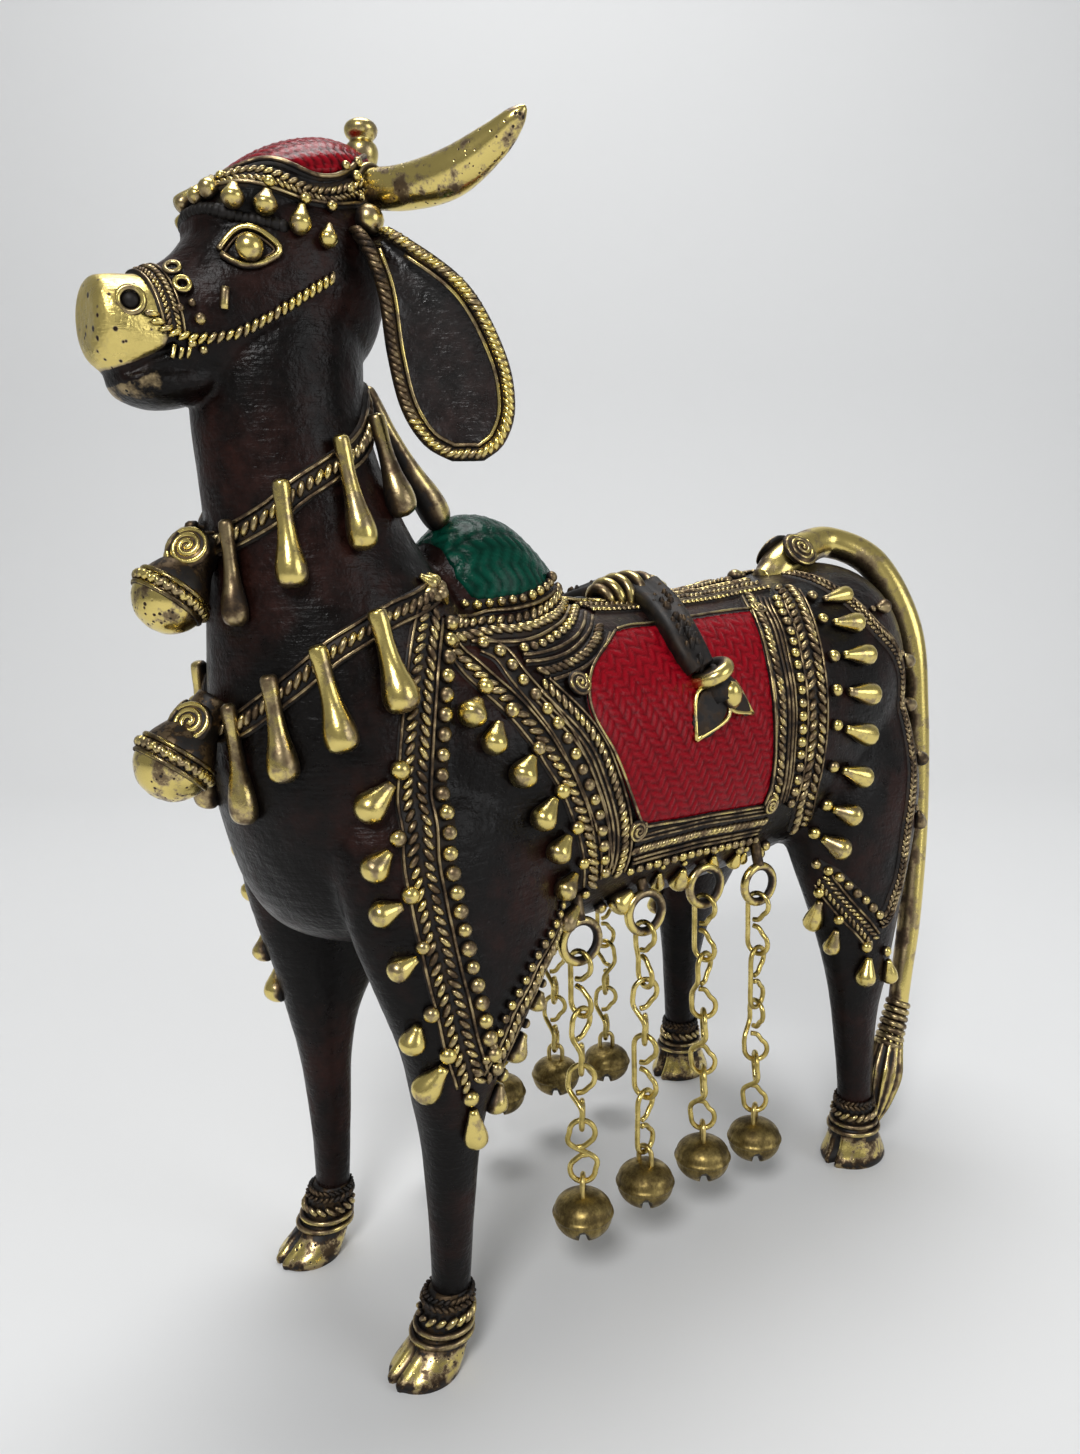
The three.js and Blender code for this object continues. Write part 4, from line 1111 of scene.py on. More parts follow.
def panel():
    """The red field of the saddle blanket, between four edges on the flank."""
    columns, rows = 132, 92
    lower, top = shared_curve(PANEL_LOWER, columns), shared_curve(PANEL_TOP, columns)
    front, rear = shared_curve(PANEL_FRONT[::-1], rows), shared_curve(PANEL_REAR, rows)
    places = between(lower, top, front, rear)
    spots = np.array([cast(at(x, FAR_LEFT, z), Y)[0] for x, z in places.reshape(-1, 2)])
    spots = spots.reshape(rows, columns, 3)
    for _ in range(6):
        around = spots[2:, 1:-1] + spots[:-2, 1:-1] + spots[1:-1, 2:] + spots[1:-1, :-2]
        spots[1:-1, 1:-1] += 0.5 * (around / 4 - spots[1:-1, 1:-1])
    outs = unit(np.cross(np.gradient(spots, axis=1), np.gradient(spots, axis=0)))
    outs *= np.where(outs[..., 1:2] > 0, -1, 1)
    p, q = places[..., 0] * SHARE, places[..., 1] * SHARE
    height = woven(p + 0.55 * q, q - 0.35 * p, column=3.6 * MM, pitch=2.5 * MM)
    from_side, from_end = (
        steps * (0.5 - np.abs(np.linspace(-0.5, 0.5, count)))
        for steps, count in zip(PANEL_STEPS, (columns, rows))
    )
    inwards = np.minimum(from_side, from_end[:, None])
    rise = 0.6 * MM + 0.38 * MM * height * np.clip(inwards / 2, 0, 1)
    rise = np.where(inwards < 0.3, -0.3 * MM, rise)[..., None]
    form = Form().add(spots + outs * rise, grid_faces(rows, columns), polish=0.3 + 0.6 * height.ravel())
    made(form.both_sides(), "saddle_panel", RED)
    rim = Form()
    for places in (PANEL_FRONT, PANEL_LOWER, PANEL_REAR, PANEL_TOP):
        line(rim, flank_run(places), 0.9 * MM, rise=0.9 * MM, shine=0.8)
    made(rim.both_sides(), "saddle_rim", THREAD)


# The rump

RUMP_DROPS = [
    ((241, -81, 613), (249, -89, 609), (290, -92, 612), 3.4, 5.2),
    ((227, -105, 592), (236, -110, 587), (276, -116, 583), 3.4, 6.0),
    ((216, -127, 557), (229, -128, 557), (274, -130, 553), 3.8, 6.3),
    ((209, -136, 525), (225, -137, 522), (270, -137, 514), 3.7, 6.9),
    ((207, -140, 491), (219, -140, 486), (266, -136, 473), 3.5, 6.9),
    ((206, -137, 449), (222, -136, 443), (260, -141, 429), 3.6, 6.7),
    ((216, -123, 406), (223, -126, 401), (250, -141, 390), 3.9, 6.8),
    ((212, -115, 375), (216, -120, 371), (238, -138, 354), 3.8, 6.9),
    ((218, -119, 311), (220, -121, 303), (228, -105, 267), 3.4, 6.2),
    ((231, -134, 282), (230, -133, 271), (230, -125, 243), 3.2, 5.2),
    ((256, -150, 250), (258, -151, 239), (251, -149, 208), 3.6, 6.2),
    ((285, -154, 239), (287, -154, 229), (294, -152, 201), 3.2, 5.2),
]
REAR_DROPS = [
    ((312, -108, 600), (318, -104, 597), (334, -88, 588), 2.0, 4.6),
    ((346, -106, 548), (352, -100, 544), (366, -84, 534), 2.0, 4.6),
    ((360, -112, 496), (364, -106, 492), (376, -88, 480), 2.0, 4.6),
    ((356, -122, 440), (360, -116, 436), (368, -100, 422), 2.0, 4.6),
    ((344, -132, 384), (348, -126, 378), (356, -112, 360), 2.0, 4.6),
]
RUMP_V = [(217, -122, 326), (226, -131, 308), (240, -141, 287), (253, -148, 271), (266, -152, 254)]
RUMP_V_BEADS = [
    (213, -116, 343), (219, -125, 337), (227, -132, 331), (236, -139, 320), (243, -142, 312),
    (254, -147, 302), (263, -150, 292), (274, -152, 281),
]
RUMP_REAR = [
    (276, -152, 276), (288, -153, 278), (299, -152, 295), (310, -151, 312), (317, -150, 338),
    (322, -150, 362), (332, -146, 400), (343, -139, 432), (350, -132, 468), (351, -128, 500),
    (345, -124, 530), (326, -124, 557), (300, -118, 580), (286, -98, 604), (276, -60, 624),
    (270, -24, 632),
]


def rump_threads():
    form = Form()
    for place in RUMP_DROPS:
        beaded_drop(form, *place)
    for place in REAR_DROPS:
        beaded_drop(form, *place, shine=0.6)
    border(form, skin_run(RUMP_V), [("line", -2.8, 0.8), ("chevron", 0, 4.8), ("line", 2.9, 0.9)])
    border(form, skin_run(RUMP_V_BEADS), [("beads", 0, 3.0)])
    rear = skin_run(RUMP_REAR)
    bed(form, rear, -2.6 * MM, 2.6 * MM)
    chevron(form, rear, 4.6 * MM, shine=0.66)
    line(form, beside(rear, -2.6 * MM), 0.8 * MM)
    made(form.both_sides(), "rump_threads", THREAD)


# The hump and the cap: painted lofts a little over the hide

PAINT_LIFT = 0.5 * MM


def painted(rows, edge, sides, height, column, pitch):
    """A lying form's painted part, and its ground's height. Below the edge it dips under the hide."""
    rings = np.array(lying(rows, sides=sides, per=16, lift=PAINT_LIFT))
    points, quads, tris = loft(rings)
    turn = 2 * np.pi * (np.arange(sides) + 0.5) / sides
    half_height = through(rows, 16)[:, 3].mean() * SHARE
    p = np.tile(np.abs(np.abs(turn - np.pi) - np.pi / 2) * half_height, len(rings))
    q = rings.mean(axis=1)[:, 0].repeat(sides)
    ground = np.concatenate([woven(p, q, column, pitch), [0, 0]])
    edge_x, edge_z = np.transpose(edge)
    under = np.interp(points[:, 0], edge_x * SHARE + SHIFT, edge_z * SHARE) - points[:, 2]
    dip = step_between(-0.6 * MM, 0.8 * MM, under)
    rise = ground * height * (1 - dip) - dip * (PAINT_LIFT + 1.2 * MM)
    return (points + normals_of(points, quads) * rise[:, None], quads, tris), ground


HUMP_EDGE = [
    (-215, 730), (-184, 722), (-177, 648), (-168, 632), (-155, 628), (-132, 631), (-104, 635), (-88, 642),
    (-50, 652),
]
CAP_EDGE = [
    (-380, 915), (-365, 927), (-352, 937), (-340, 942), (-325, 945), (-312, 943), (-295, 939), (-279, 942),
    (-266, 948), (-250, 957), (-226, 964),
]
CAP_BORDERS = [
    ("line", 1.1, [
        (-361, 0, 935), (-352, -13, 938), (-339, -24, 941), (-326, -30, 942), (-314, -39, 940),
        (-305, -44, 938), (-294, -47, 937), (-279, -47, 940), (-266, -43, 947), (-252, -33, 957),
        (-238, -14, 963), (-235, 0, 964),
    ]),
    ("rope", 2.3, [
        (-365, 0, 930), (-356, -14, 933), (-343, -28, 935), (-330, -38, 934), (-316, -46, 931),
        (-298, -48, 928), (-279, -48, 931), (-260, -44, 939), (-242, -33, 946), (-228, -13, 952),
        (-225, 0, 953),
    ]),
    ("antirope", 2.0, [
        (-369, 0, 923), (-359, -18, 926), (-345, -33, 928), (-330, -43, 928), (-319, -47, 927),
        (-305, -49, 924), (-286, -49, 923), (-264, -47, 930), (-245, -39, 938), (-226, -19, 944),
        (-220, 0, 945),
    ]),
    ("line", 0.9, [
        (-370, 0, 922), (-360, -20, 925), (-345, -37, 926), (-336, -43, 925), (-320, -47, 923),
        (-305, -48, 920), (-284, -48, 919), (-262, -46, 925), (-243, -38, 932), (-222, -18, 938),
        (-215, 0, 940),
    ]),
]
FRINGE_BEADS = [
    (-351, -18, 932, 2.2), (-330, -45, 927, 2.4), (-305, -49, 920, 2.6), (-285, -50, 917, 2.4),
]
FRINGE_DROPS = [
    ((-360, -8, 930), (-371, -13, 914), 3.4), ((-354, -14, 930), (-364, -24, 915), 4.0),
    ((-350, -33, 924), (-354, -38, 906), 4.7), ((-332, -45, 921), (-336, -45, 904), 4.9),
    ((-309, -49, 913), (-315, -54, 892), 4.6), ((-291, -53, 903), (-295, -56, 886), 4.0),
]
# A low row of beads under the fringe, sunk in the hide and painted near black: a dark band, and painted
# shade beneath the fringe.
FRINGE_SHADE_BAND = [
    (-373, 0, 912), (-371, -10, 912), (-367, -21, 911), (-359, -34, 906), (-349, -38, 904),
    (-336, -45, 902), (-322, -50, 899),
]
EAR_BEAD = (-257, 911)
KNOB = [
    (944, 13), (958, 12), (966, 10), (971, 12), (977, 13), (982, 12), (985, 9.5), (987, 9.5), (990, 12),
    (994, 13), (998, 11.5), (1001, 7), (1002, 1),
]


def hump_and_cap():
    skin, ground = painted(HUMP, HUMP_EDGE, sides=116, height=0.3 * MM, column=3.6 * MM, pitch=2.9 * MM)
    made(Form().add(*skin, 0.2 + 0.6 * ground), "hump_paint", GREEN)
    skin, ground = painted(CAP, CAP_EDGE, sides=112, height=0.4 * MM, column=2.4 * MM, pitch=1.9 * MM)
    made(Form().add(*skin, ground), "cap_paint", RED)


def lathe(form, base, axis, profile, sides=32, shine=1.0):
    """A turned shape: rows of (distance along the axis, radius[, polish])."""
    around = all_round(sides, *square_to(axis, Y, X))
    rings = [base + axis * row[0] + row[1] * around for row in profile]
    polish = np.repeat([row[2] if len(row) > 2 else shine for row in profile], sides)
    form.add(*loft(rings), np.concatenate([polish, polish[:1], polish[-1:]]))


def cap_trim():
    form = Form()
    for kind, width, places in CAP_BORDERS:
        border(form, both_sides_run(places, closed=True), [(kind, 0, width)], 0.6 * MM)
    for flip in BOTH:
        hide_beads(form, FRINGE_BEADS, 0.5, 1.0, flip)
        for top, foot, width in FRINGE_DROPS:
            hung_drop(form, top, foot, width * MM, 0.5 * MM, flip)
        spot, out = flank(*EAR_BEAD)
        bead(form, (spot + out * 0.8 * MM) * flip, out * flip, 6.4 * MM)
    # The beads under the fringe are near black: painted shade beneath the fringe drops.
    spots, outs = skin_run(FRINGE_SHADE_BAND)
    for flip in BOTH:
        beads(form, (spots * flip, outs * flip), 2.8 * MM, 0.5, -0.6 * MM, shine=-0.4)
    lathe(form, at(-227, 0, 0), Z, [(z * SHARE, r * SHARE) for z, r in through(KNOB, 4)], shine=0.9)
    made(form, "cap_trim", THREAD)


# Horns and ears

HORN = [
    (-244, -33, 941, 14), (-228, -62, 938, 16), (-210, -95, 943, 17), (-194, -124, 959, 13),
    (-187, -141, 971, 8.5), (-184, -148, 977, 4), (-183, -150, 979, 1),
]
EAR = [
    (-252, -38, 908, 12), (-256, -68, 897, 13), (-234, -90, 862, 31), (-220, -98, 815, 42),
    (-213, -101, 778, 41), (-210, -103, 754, 29), (-208, -104, 743, 12),
]
HORN_BEADS = [
    (-262, -44, 943, 2.2), (-258, -40, 953, 2.0), (-270, -45, 948, 2.0), (-268, -46, 934, 2.0),
    (-256, -44, 931, 1.8),
]
EAR_RIM = 1.45 * MM
EAR_ACROSS = unit([0.83, -0.56, 0])
EAR_FACE = unit([-0.56, -0.83, 0])


def horns():
    form = Form()
    path = through(HORN, 10)
    tube(form, all_at(path), path[:, 3] * SHARE, 40, shine=0.98)
    made(form.both_sides(), "horns", POLISHED)
    trim = Form()
    root, ahead = all_at(path[[0, 2]])
    way = unit(ahead - root)
    ring_thread(trim, root + (ahead - root) * 0.6, unit(way - 0.2 * X), 15.5 * SHARE, 1.5 * MM)
    ring_rope(trim, root, way, 15 * SHARE, 1.9 * MM)
    hide_beads(trim, HORN_BEADS, 0.8, 0.85)
    made(trim.both_sides(), "horn_collars", THREAD)


def ears():
    """Hollowed leaves with a thick rope rim."""
    leaf, rim = Form(), Form()
    path = through(EAR, 8)
    turn = np.linspace(0, 2 * np.pi, 48, endpoint=False)
    s = np.cos(turn)
    depth = np.where(np.sin(turn) > 0, -1.5 + 1.7 * s**2, -2.8 + 2.3 * s**4) * 5 * SHARE
    middles = all_at(path)
    halves = np.outer(path[:, 3] * SHARE, EAR_ACROSS)
    rings = middles[:, None] + 0.94 * s[:, None] * halves[:, None] + np.outer(depth, EAR_FACE)
    leaf.add(*loft(rings), 0.0)
    made(leaf.both_sides(), "ears", EAR_HIDE)
    down, up = (middles + 0.92 * halves)[6:], (middles - 0.92 * halves)[6:]
    loop = evened(np.concatenate([down, up[::-1]]), STEP)
    outs = np.tile(EAR_FACE, (len(loop), 1))
    _, inward, _ = ways_along(loop, outs)
    tube(rim, loop[::3], EAR_RIM, 12, outs=outs[::3], shine=0.3)
    turn = len(loop) * 13 // 20  # from here, up the side by the face, the rope is duller
    for first, last, shine in ((0, turn, 0.95), (turn - 1, len(loop), 0.5)):
        rope(rim, (loop[first:last], outs[first:last]), 2 * EAR_RIM, 42, 0.9 * MM, shine, pitch=0.5)
    middle = loop.mean(axis=0)
    inward *= np.sign(np.sum(inward * (middle - loop), axis=1).sum())
    inner = (loop + inward * 1.9 * MM + EAR_FACE * 0.35 * MM)[12:-12]
    tube(rim, inner[::3], 0.5 * MM, 8, outs=outs[12:-12][::3], shine=0.85)
    made(rim.both_sides(), "ear_rims", THREAD)


# The face

EYE_RIM = [
    (-367, -37, 878), (-361, -36, 886), (-356, -37, 892), (-350, -40, 896), (-343, -44, 896),
    (-336, -48, 892), (-330, -51, 887), (-326, -53, 881), (-331, -52, 877), (-337, -50, 873),
    (-345, -49, 869), (-353, -47, 868), (-360, -43, 871), (-365, -39, 875),
]
NOSEBAND = [(-401, -35, 820), (-402, -36, 830), (-404, -31, 847), (-407, -19, 862), (-409, 0, 867)]
NOSEBAND_LANES = [("line", -1.9, 0.6), ("rope", -0.8, 1.6), ("antirope", 0.8, 1.6), ("line", 1.9, 0.6)]
REIN = [
    (-417, 834), (-411, 826), (-401, 822), (-387, 820), (-374, 821), (-357, 826), (-344, 833), (-326, 844),
    (-311, 854), (-289, 868),
]
CHEEK_RINGS = [(-394, -23, 865), (-392, -32, 854)]
CHEEK_BEADS = [
    (-384, -39, 832, 2.4), (-388, -36, 842, 1.6), (-396, -33, 838, 1.6), (-390, -37, 816, 1.8),
    (-382, -38, 812, 1.8),
]
CHEEK_WIRES = [
    ([(-366, -44, 855), (-369, -44, 836)], 2.0), ([(-391, -35, 816), (-393, -31, 804)], 1.0),
    ([(-396, -35, 815), (-398, -31, 803)], 1.0), ([(-401, -34, 814), (-403, -31, 804)], 1.0),
]


def face():
    form = Form()
    eye, looking = flank(*EYE)
    rim = skin_run(EYE_RIM, closed=True)
    line(form, rim, 1.5 * MM, 0.3 * MM, shine=1.0)
    line(form, beside(rim, -1.0 * MM), 0.7 * MM, 0.05 * MM, shine=0.4)
    bead(form, eye + looking * 0.7 * MM, looking, 5.6 * MM, shine=1.1, flat=0.85)
    facing = unit([-0.45, -1, 0.05])
    ring_thread(form, NOSTRIL + facing * 0.5 * MM, facing, 2.3 * MM, 1.3 * MM, 1.0, steps=36, flat=True)
    # A near-black ball deep in the nostril: painted shade, so the nostril reads as an opening.
    bead(form, NOSTRIL - facing * 1.4 * MM, facing, 3.8 * MM, shine=-0.6)
    rope(form, flank_run(REIN), 2.7 * MM, 44, shine=1.0)
    for place in CHEEK_RINGS:
        spot, out = on_hide(place)
        ring_thread(form, spot + out * 0.9 * MM, out, 1.4 * MM, 1.1 * MM, 1.1, steps=24, flat=True)
    hide_beads(form, CHEEK_BEADS, 0.3, 0.8)
    for places, width in CHEEK_WIRES:
        line(form, skin_run(places), width * MM, 0.4 * MM, shine=0.95)
    form.both_sides()
    border(form, both_sides_run(NOSEBAND), NOSEBAND_LANES)
    made(form, "face_trim", THREAD)


# Necklaces and throat bells

# The outline of the long drops: rows of (part of the length, part of the width)
PEG = [
    (0, 0.3), (0.02, 0.48), (0.05, 0.54), (0.14, 0.54), (0.3, 0.5), (0.46, 0.56), (0.6, 0.7), (0.74, 0.92),
    (0.84, 1), (0.92, 0.95), (0.97, 0.75), (1, 0.4),
]
UPPER_NECKLACE = [
    (-365, 0, 679), (-362, -29, 686), (-345, -50, 700), (-326, -60, 717), (-302, -63, 732),
    (-277, -56, 746), (-252, -42, 768), (-238, -20, 789), (-234, 0, 796),
]
LOWER_NECKLACE = [
    (-223, -74, 640), (-241, -83, 633), (-272, -89, 624), (-298, -88, 612), (-320, -82, 599),
    (-339, -71, 581), (-356, -55, 564), (-369, -29, 546), (-374, 0, 540),
]
NECKLACE_LANES = [("line", -2.3, 0.9), ("rope", 0, 3.4), ("line", 2.3, 0.9)]
# The top and the foot of each, the width and the shine
NECK_DROPS = [
    ((-363, -27, 697), (-364, -34, 620), 20, 0.6), ((-337, -55, 724), (-335, -63, 647), 24, 1.0),
    ((-296, -60, 755), (-287, -75, 672), 23, 1.0), ((-254, -43, 774), (-243, -54, 696), 24, 0.75),
    ((-369, -27, 564), (-364, -33, 472), 22, 0.8), ((-353, -57, 586), (-349, -68, 507), 24, 0.9),
    ((-327, -77, 606), (-317, -94, 528), 26, 1.0), ((-287, -87, 629), (-276, -104, 553), 28, 1.0),
]
NAPE_DROP = ((-236, 0, 794), (-186, 0, 706), 27, 0.85)
STAR = (-223, -74, 641)
THROAT_WAY = unit([-0.62, 0, -0.78])
THROAT_PROFILE = [
    (-2.1, 0.5), (-1.6, 0.56), (-1.15, 0.66), (-0.8, 0.84), (-0.45, 0.98), (0, 1.04), (0.35, 0.96),
    (0.65, 0.74), (0.85, 0.48), (0.95, 0.12),
]
THROAT_BELLS = [(-405, 640, 26), (-411, 517, 28)]
THROAT_DISCS = [(-391, -10, 677), (-399, -11, 549)]


def neck_drop(form, top, foot, width, shine, flip=1):
    hung_drop(form, top, foot, width * SHARE, 0, flip, profile=PEG, sink=0.3, shine=shine)


def necklaces():
    form = Form()
    border(form, both_sides_run(UPPER_NECKLACE, closed=True), NECKLACE_LANES, 0.7 * MM)
    border(form, both_sides_run(LOWER_NECKLACE), NECKLACE_LANES, 0.7 * MM)
    spot, out = on_hide(STAR)
    tips, _ = nearest(spot + turned(1.05 * np.arange(6) + 0.3, X, Z) * 4.6 * MM)
    for flip in BOTH:
        for row in NECK_DROPS:
            neck_drop(form, *row, flip)
        for tip in tips:
            drop(form, tip * flip, (spot + out * 0.8 * MM) * flip, out * flip, 3.4 * MM, shine=0.9)
    neck_drop(form, *NAPE_DROP)
    made(form, "necklaces", THREAD)


def throat():
    globe, trim = Form(), Form()
    profile = through(THROAT_PROFILE, 5)
    for x, z, size in THROAT_BELLS:
        centre, radius = at(x, 0, z), size * SHARE
        rows = [(t * radius, r * radius, 0.4 + 0.6 * step_between(-0.1, 0.3, t)) for t, r in profile]
        lathe(globe, centre, THROAT_WAY, rows, 56)
        for along in (-0.36, 0.1):
            place = centre + THROAT_WAY * along * radius
            ring_thread(trim, place, THROAT_WAY, 1.03 * radius, 1.2 * MM, 0.85, steps=72)
        middle = centre - THROAT_WAY * 0.13 * radius
        ring_rope(trim, middle, THROAT_WAY, 1.06 * radius, 2.5 * MM, shine=0.95)
    made(globe, "throat_bells", POLISHED)
    for x, y, z in THROAT_DISCS:
        spiral(trim, at(x, y, z), unit([-0.6, -0.6, 0.45]), 17 * SHARE, 1.2 * MM, 3.2, dome=0.25, shine=1.1)
    made(trim.both_sides(), "throat_trim", THREAD)


# The cord over the back

KNOT_PLACE, KNOT_HALVES = (44, -12, 620), (36, 17, 15)
KNOT_BEAD = (74, -30, 617)
KNOT_COILS = [
    (-34, 12, -0.5), (-25, 17, -0.3), (-15, 20, -0.05), (-4, 22.5, 0.2), (7, 23, 0.45), (18, 21, 0.7),
    (28, 17, 0.95),
]
CORD = [
    (58, -24, 619, 19), (42, -62, 606, 18), (29, -92, 589, 17.5), (26, -108, 573, 17), (30, -118, 558, 15),
]
CORD_LUMPS, LUMP_HALVES = 90, (0.8, 0.9, 1.9)
FLOWER_PLACE, FLOWER_WAY = (38, -119, 553), unit([0.42, -0.12, -0.85])
PETALS = [(86, -132, 515, 4.3), (8, -134, 500, 5.4)]
RIDGE_BEADS = [(193, -9, 632, 3.0), (212, -2, 637, 4.6), (224, 0, 637, 3.0), (-88, -38, 641, 3.0)]
LEAVES = [(-46, -8, 616, 0.5), (-26, -13, 619, -0.35), (-6, -12, 620, 0.3)]
LEAF_LENGTH = 26 * SHARE
CUP = [
    (-1.5, 2.0, 0.2), (1.5, 3.6, 0.15), (4.5, 5.0, 0.1), (6.5, 5.2, 0.1), (6.2, 4.2, 0.0), (3.0, 2.0, 0.0),
]


def petal(form, root, tip, out, half):
    """A dark leaf with a gold edge."""
    length = tip - root
    side = unit(np.cross(out, length))
    thick = unit(np.cross(length, side)) * 0.9 * MM
    scatter(form, BALL, root + length * 0.45, length * 0.5, side * half * 0.85, thick, 0.12)
    for sign in (1, -1):
        edge = through([root, root + length * 0.35 + sign * side * half, tip], 6)
        tube(form, edge, 0.6 * MM, 7)


def back_cord():
    form, side = Form(), Form()
    scatter(form, BALL, at(*KNOT_PLACE), *np.diag(KNOT_HALVES) * SHARE, 0.0)
    for along, r, lean in KNOT_COILS:
        centre = at(KNOT_PLACE[0] + along, KNOT_PLACE[1], KNOT_PLACE[2])
        ring_thread(form, centre, unit([1, 0.1, -lean]), r * SHARE, 3.0 * MM, shine=0.85, steps=48)
    bead(form, at(*KNOT_BEAD), unit([0.2, -0.7, 0.6]), 3.4 * MM)
    hide_beads(form, RIDGE_BEADS, 0.8, 0.8)
    for *place, turn in LEAVES:
        root = at(*place)
        tip = root + turned(turn, X, -Y) * LEAF_LENGTH
        (root, tip), outs = nearest([root, tip])
        petal(form, root + outs[0] * MM, tip + outs[1] * 1.2 * MM, outs[0], 2.4 * MM)
    path = through(CORD, 10)
    points = all_at(path)
    _, outs = nearest(points)
    widths = path[:, 3] * 1.14 * SHARE
    tube(side, points, widths, 40, outs=outs, shine=0.04, flutes=5, depth=0.13)
    picked = rng.integers(6, len(points) - 6, CORD_LUMPS)
    around = unit(outs[picked] + rng.normal(0, 0.55, (CORD_LUMPS, 3)))
    lumps = points[picked] + around * path[picked, 3:] * SHARE
    scatter(side, BALL, lumps, *np.diag(LUMP_HALVES) * MM, 0.3)
    spot, out = on_hide(FLOWER_PLACE)
    ring_place = spot + out * 2.6 * MM
    ring_thread(side, ring_place, FLOWER_WAY, 4.3 * MM, 4.1 * MM, 1.05, sides=14, steps=36)
    lathe(side, ring_place, FLOWER_WAY, [(t * MM, r * MM, p) for t, r, p in CUP], 30)
    heart = ring_place + FLOWER_WAY * 8.0 * MM + out * 3.4 * MM
    across = unit(np.cross(out, FLOWER_WAY))
    scatter(side, BALL, heart, FLOWER_WAY * 3.7 * MM, across * 3.1 * MM, out * 3.0 * MM, 1.2)
    root = heart - FLOWER_WAY * 3.5 * MM - out * 1.5 * MM
    for *place, half in PETALS:
        tip, tip_out = on_hide(place)
        petal(side, root, tip + tip_out * 1.2 * MM, out, half * MM)
    form.add(*side.both_sides().arrays())
    made(form, "back_cord", THREAD)


# The tail

TAIL = [
    (258, 0, 628, 13), (276, 0, 634, 20), (296, 0, 647, 22), (322, 0, 659, 20), (368, -6, 668, 17.5),
    (402, -44, 642, 17.5), (418, -80, 570, 16.5), (420, -94, 480, 14.5), (411, -106, 360, 13.5),
    (384, -120, 250, 12.5), (363, -127, 190, 11.5), (354, -129, 150, 11),
]
TUFT = [
    (352, -129, 142, 10), (343, -130, 124, 12), (333, -131, 104, 16.5), (321, -134, 80, 20),
    (310, -137, 56, 15), (302, -139, 40, 9), (298, -140, 28, 3),
]
COIL = [(354, -129, 152), (335, -131, 110)]
COIL_TURNS = 7
RUMP_MIDDLE = (300, 0, 330)
TAIL_SPIRAL = (298, -18, 660)


def tail():
    form = Form()
    tail_path, tuft_path = through(TAIL, 12), through(TUFT, 12)
    points = all_at(tail_path)
    outs = (points - at(*RUMP_MIDDLE)) * [1, 0, 1]
    outs[:, 1] = -2.2 * np.linalg.norm(outs, axis=1)
    tube(form, points, tail_path[:, 3] * SHARE, 42, outs=outs, shine=1.1, least=0.55)
    points = all_at(tuft_path)
    outs = np.tile(unit([-0.4, -1, 0.1]), (len(points), 1))
    widths = tuft_path[:, 3] * SHARE
    tube(form, points, widths, 42, outs=outs, shine=1.15, flutes=12, depth=0.12, least=0.55)
    first, last = all_at(COIL)
    for i in range(COIL_TURNS):
        centre = first + (last - first) * i / (COIL_TURNS - 1)
        ring_thread(form, centre, unit([0.45, 0, 1]), (10.5 + 0.4 * i) * SHARE, 2.1 * MM, 0.7)
    out = unit([-0.1, -0.8, 0.6])
    for flip, rise in zip(BOTH, (0.6 * MM, 0)):
        spiral(form, (at(*TAIL_SPIRAL) + out * rise) * flip, out * flip, 22 * SHARE, 1.2 * MM, 3.6)
    made(form, "tail", THREAD)


# The feet

HIND_HOOF = [
    (68, 272, -132, 19, 18), (60, 272, -132, 20, 19), (42, 272, -132, 22, 21), (34, 272, -132, 26, 24),
    (16, 273, -132, 33, 29), (5, 272, -132, 38, 32), (0, 272, -132, 37, 31),
]
FORE_HOOF = [
    (66, -246, -101, 17, 16), (58, -248, -101, 20, 19), (40, -252, -101, 21, 20), (28, -256, -101, 24, 22),
    (16, -264, -101, 28, 26), (6, -272, -101, 31, 28), (0, -273, -101, 30, 27),
]


CLEFT_DEPTH = 2.2 * MM
LIP_HEIGHT, LIP_ASIDE = 0.6 * MM, 1.9 * MM


def hoof(form, rows, top):
    """A hoof. Below its top it has a cleft between two raised lips at the front."""
    rings = np.array(upright(rows, 72))
    rings[..., 2] = np.maximum(rings[..., 2], 0)
    spread = rings - rings.mean(axis=1, keepdims=True)
    aside = np.abs(spread[..., 1])
    front = spread[..., 0] < 0
    low = step_between(top, top - 10, through(rows, 8)[:, :1])
    cut = CLEFT_DEPTH * (1 - step_between(0.25 * MM, 1.1 * MM, aside))
    lip = LIP_HEIGHT * (1 - step_between(0, 1.3 * MM, np.abs(aside - LIP_ASIDE)))
    rings += unit(spread * [1, 1, 0]) * (np.where(front, lip - cut, 0) * low)[..., None]
    foot = 1 - 0.4 * step_between(3 * MM, 0.5 * MM, rings[..., 2])
    polish = np.where(front & (aside < 0.8 * MM), 0.1, 0.86) * (0.3 + 0.7 * low) * foot
    form.add(*loft(rings), np.concatenate([polish.ravel(), [0.3, 0.3]]))


def girdle(rows, z, grow):
    """A run round a leg at a height."""
    path = through(rows, 12)[::-1]
    x, y, a, b = (np.interp(z, path[:, 0], path[:, k]) for k in (1, 2, 3, 4))
    outs = turned(np.linspace(0, 2 * np.pi, 64), X, Y)
    return at(x, y, z) + outs * [a * SHARE + grow, b * SHARE + grow, 0], outs


# Height above the hoof's top, kind, width, shine
ANKLET = [
    (35, "rope", 2.0, 0.3), (30, "antirope", 2.2, 0.35), (19, "rope", 3.4, 0.78), (9, "line", 1.6, 0.8),
    (2, "line", 1.6, 0.8),
]


def feet():
    form, trim = Form(), Form()
    for rows, top in ((HIND_HOOF, 34), (FORE_HOOF, 28)):
        hoof(form, rows, top)
        for above, kind, width, shine in ANKLET:
            run = girdle(rows, min(top + above, rows[0][0]), 0.25 * MM)
            if kind == "line":
                line(trim, run, width * MM, 0.1 * MM, shine)
            else:
                rope(trim, run, width * MM, LEAN[kind], 0.1 * MM, shine)
    made(form.both_sides(), "hooves", POLISHED)
    made(trim.both_sides(), "anklets", THREAD)


# Cast rings, chains and bells

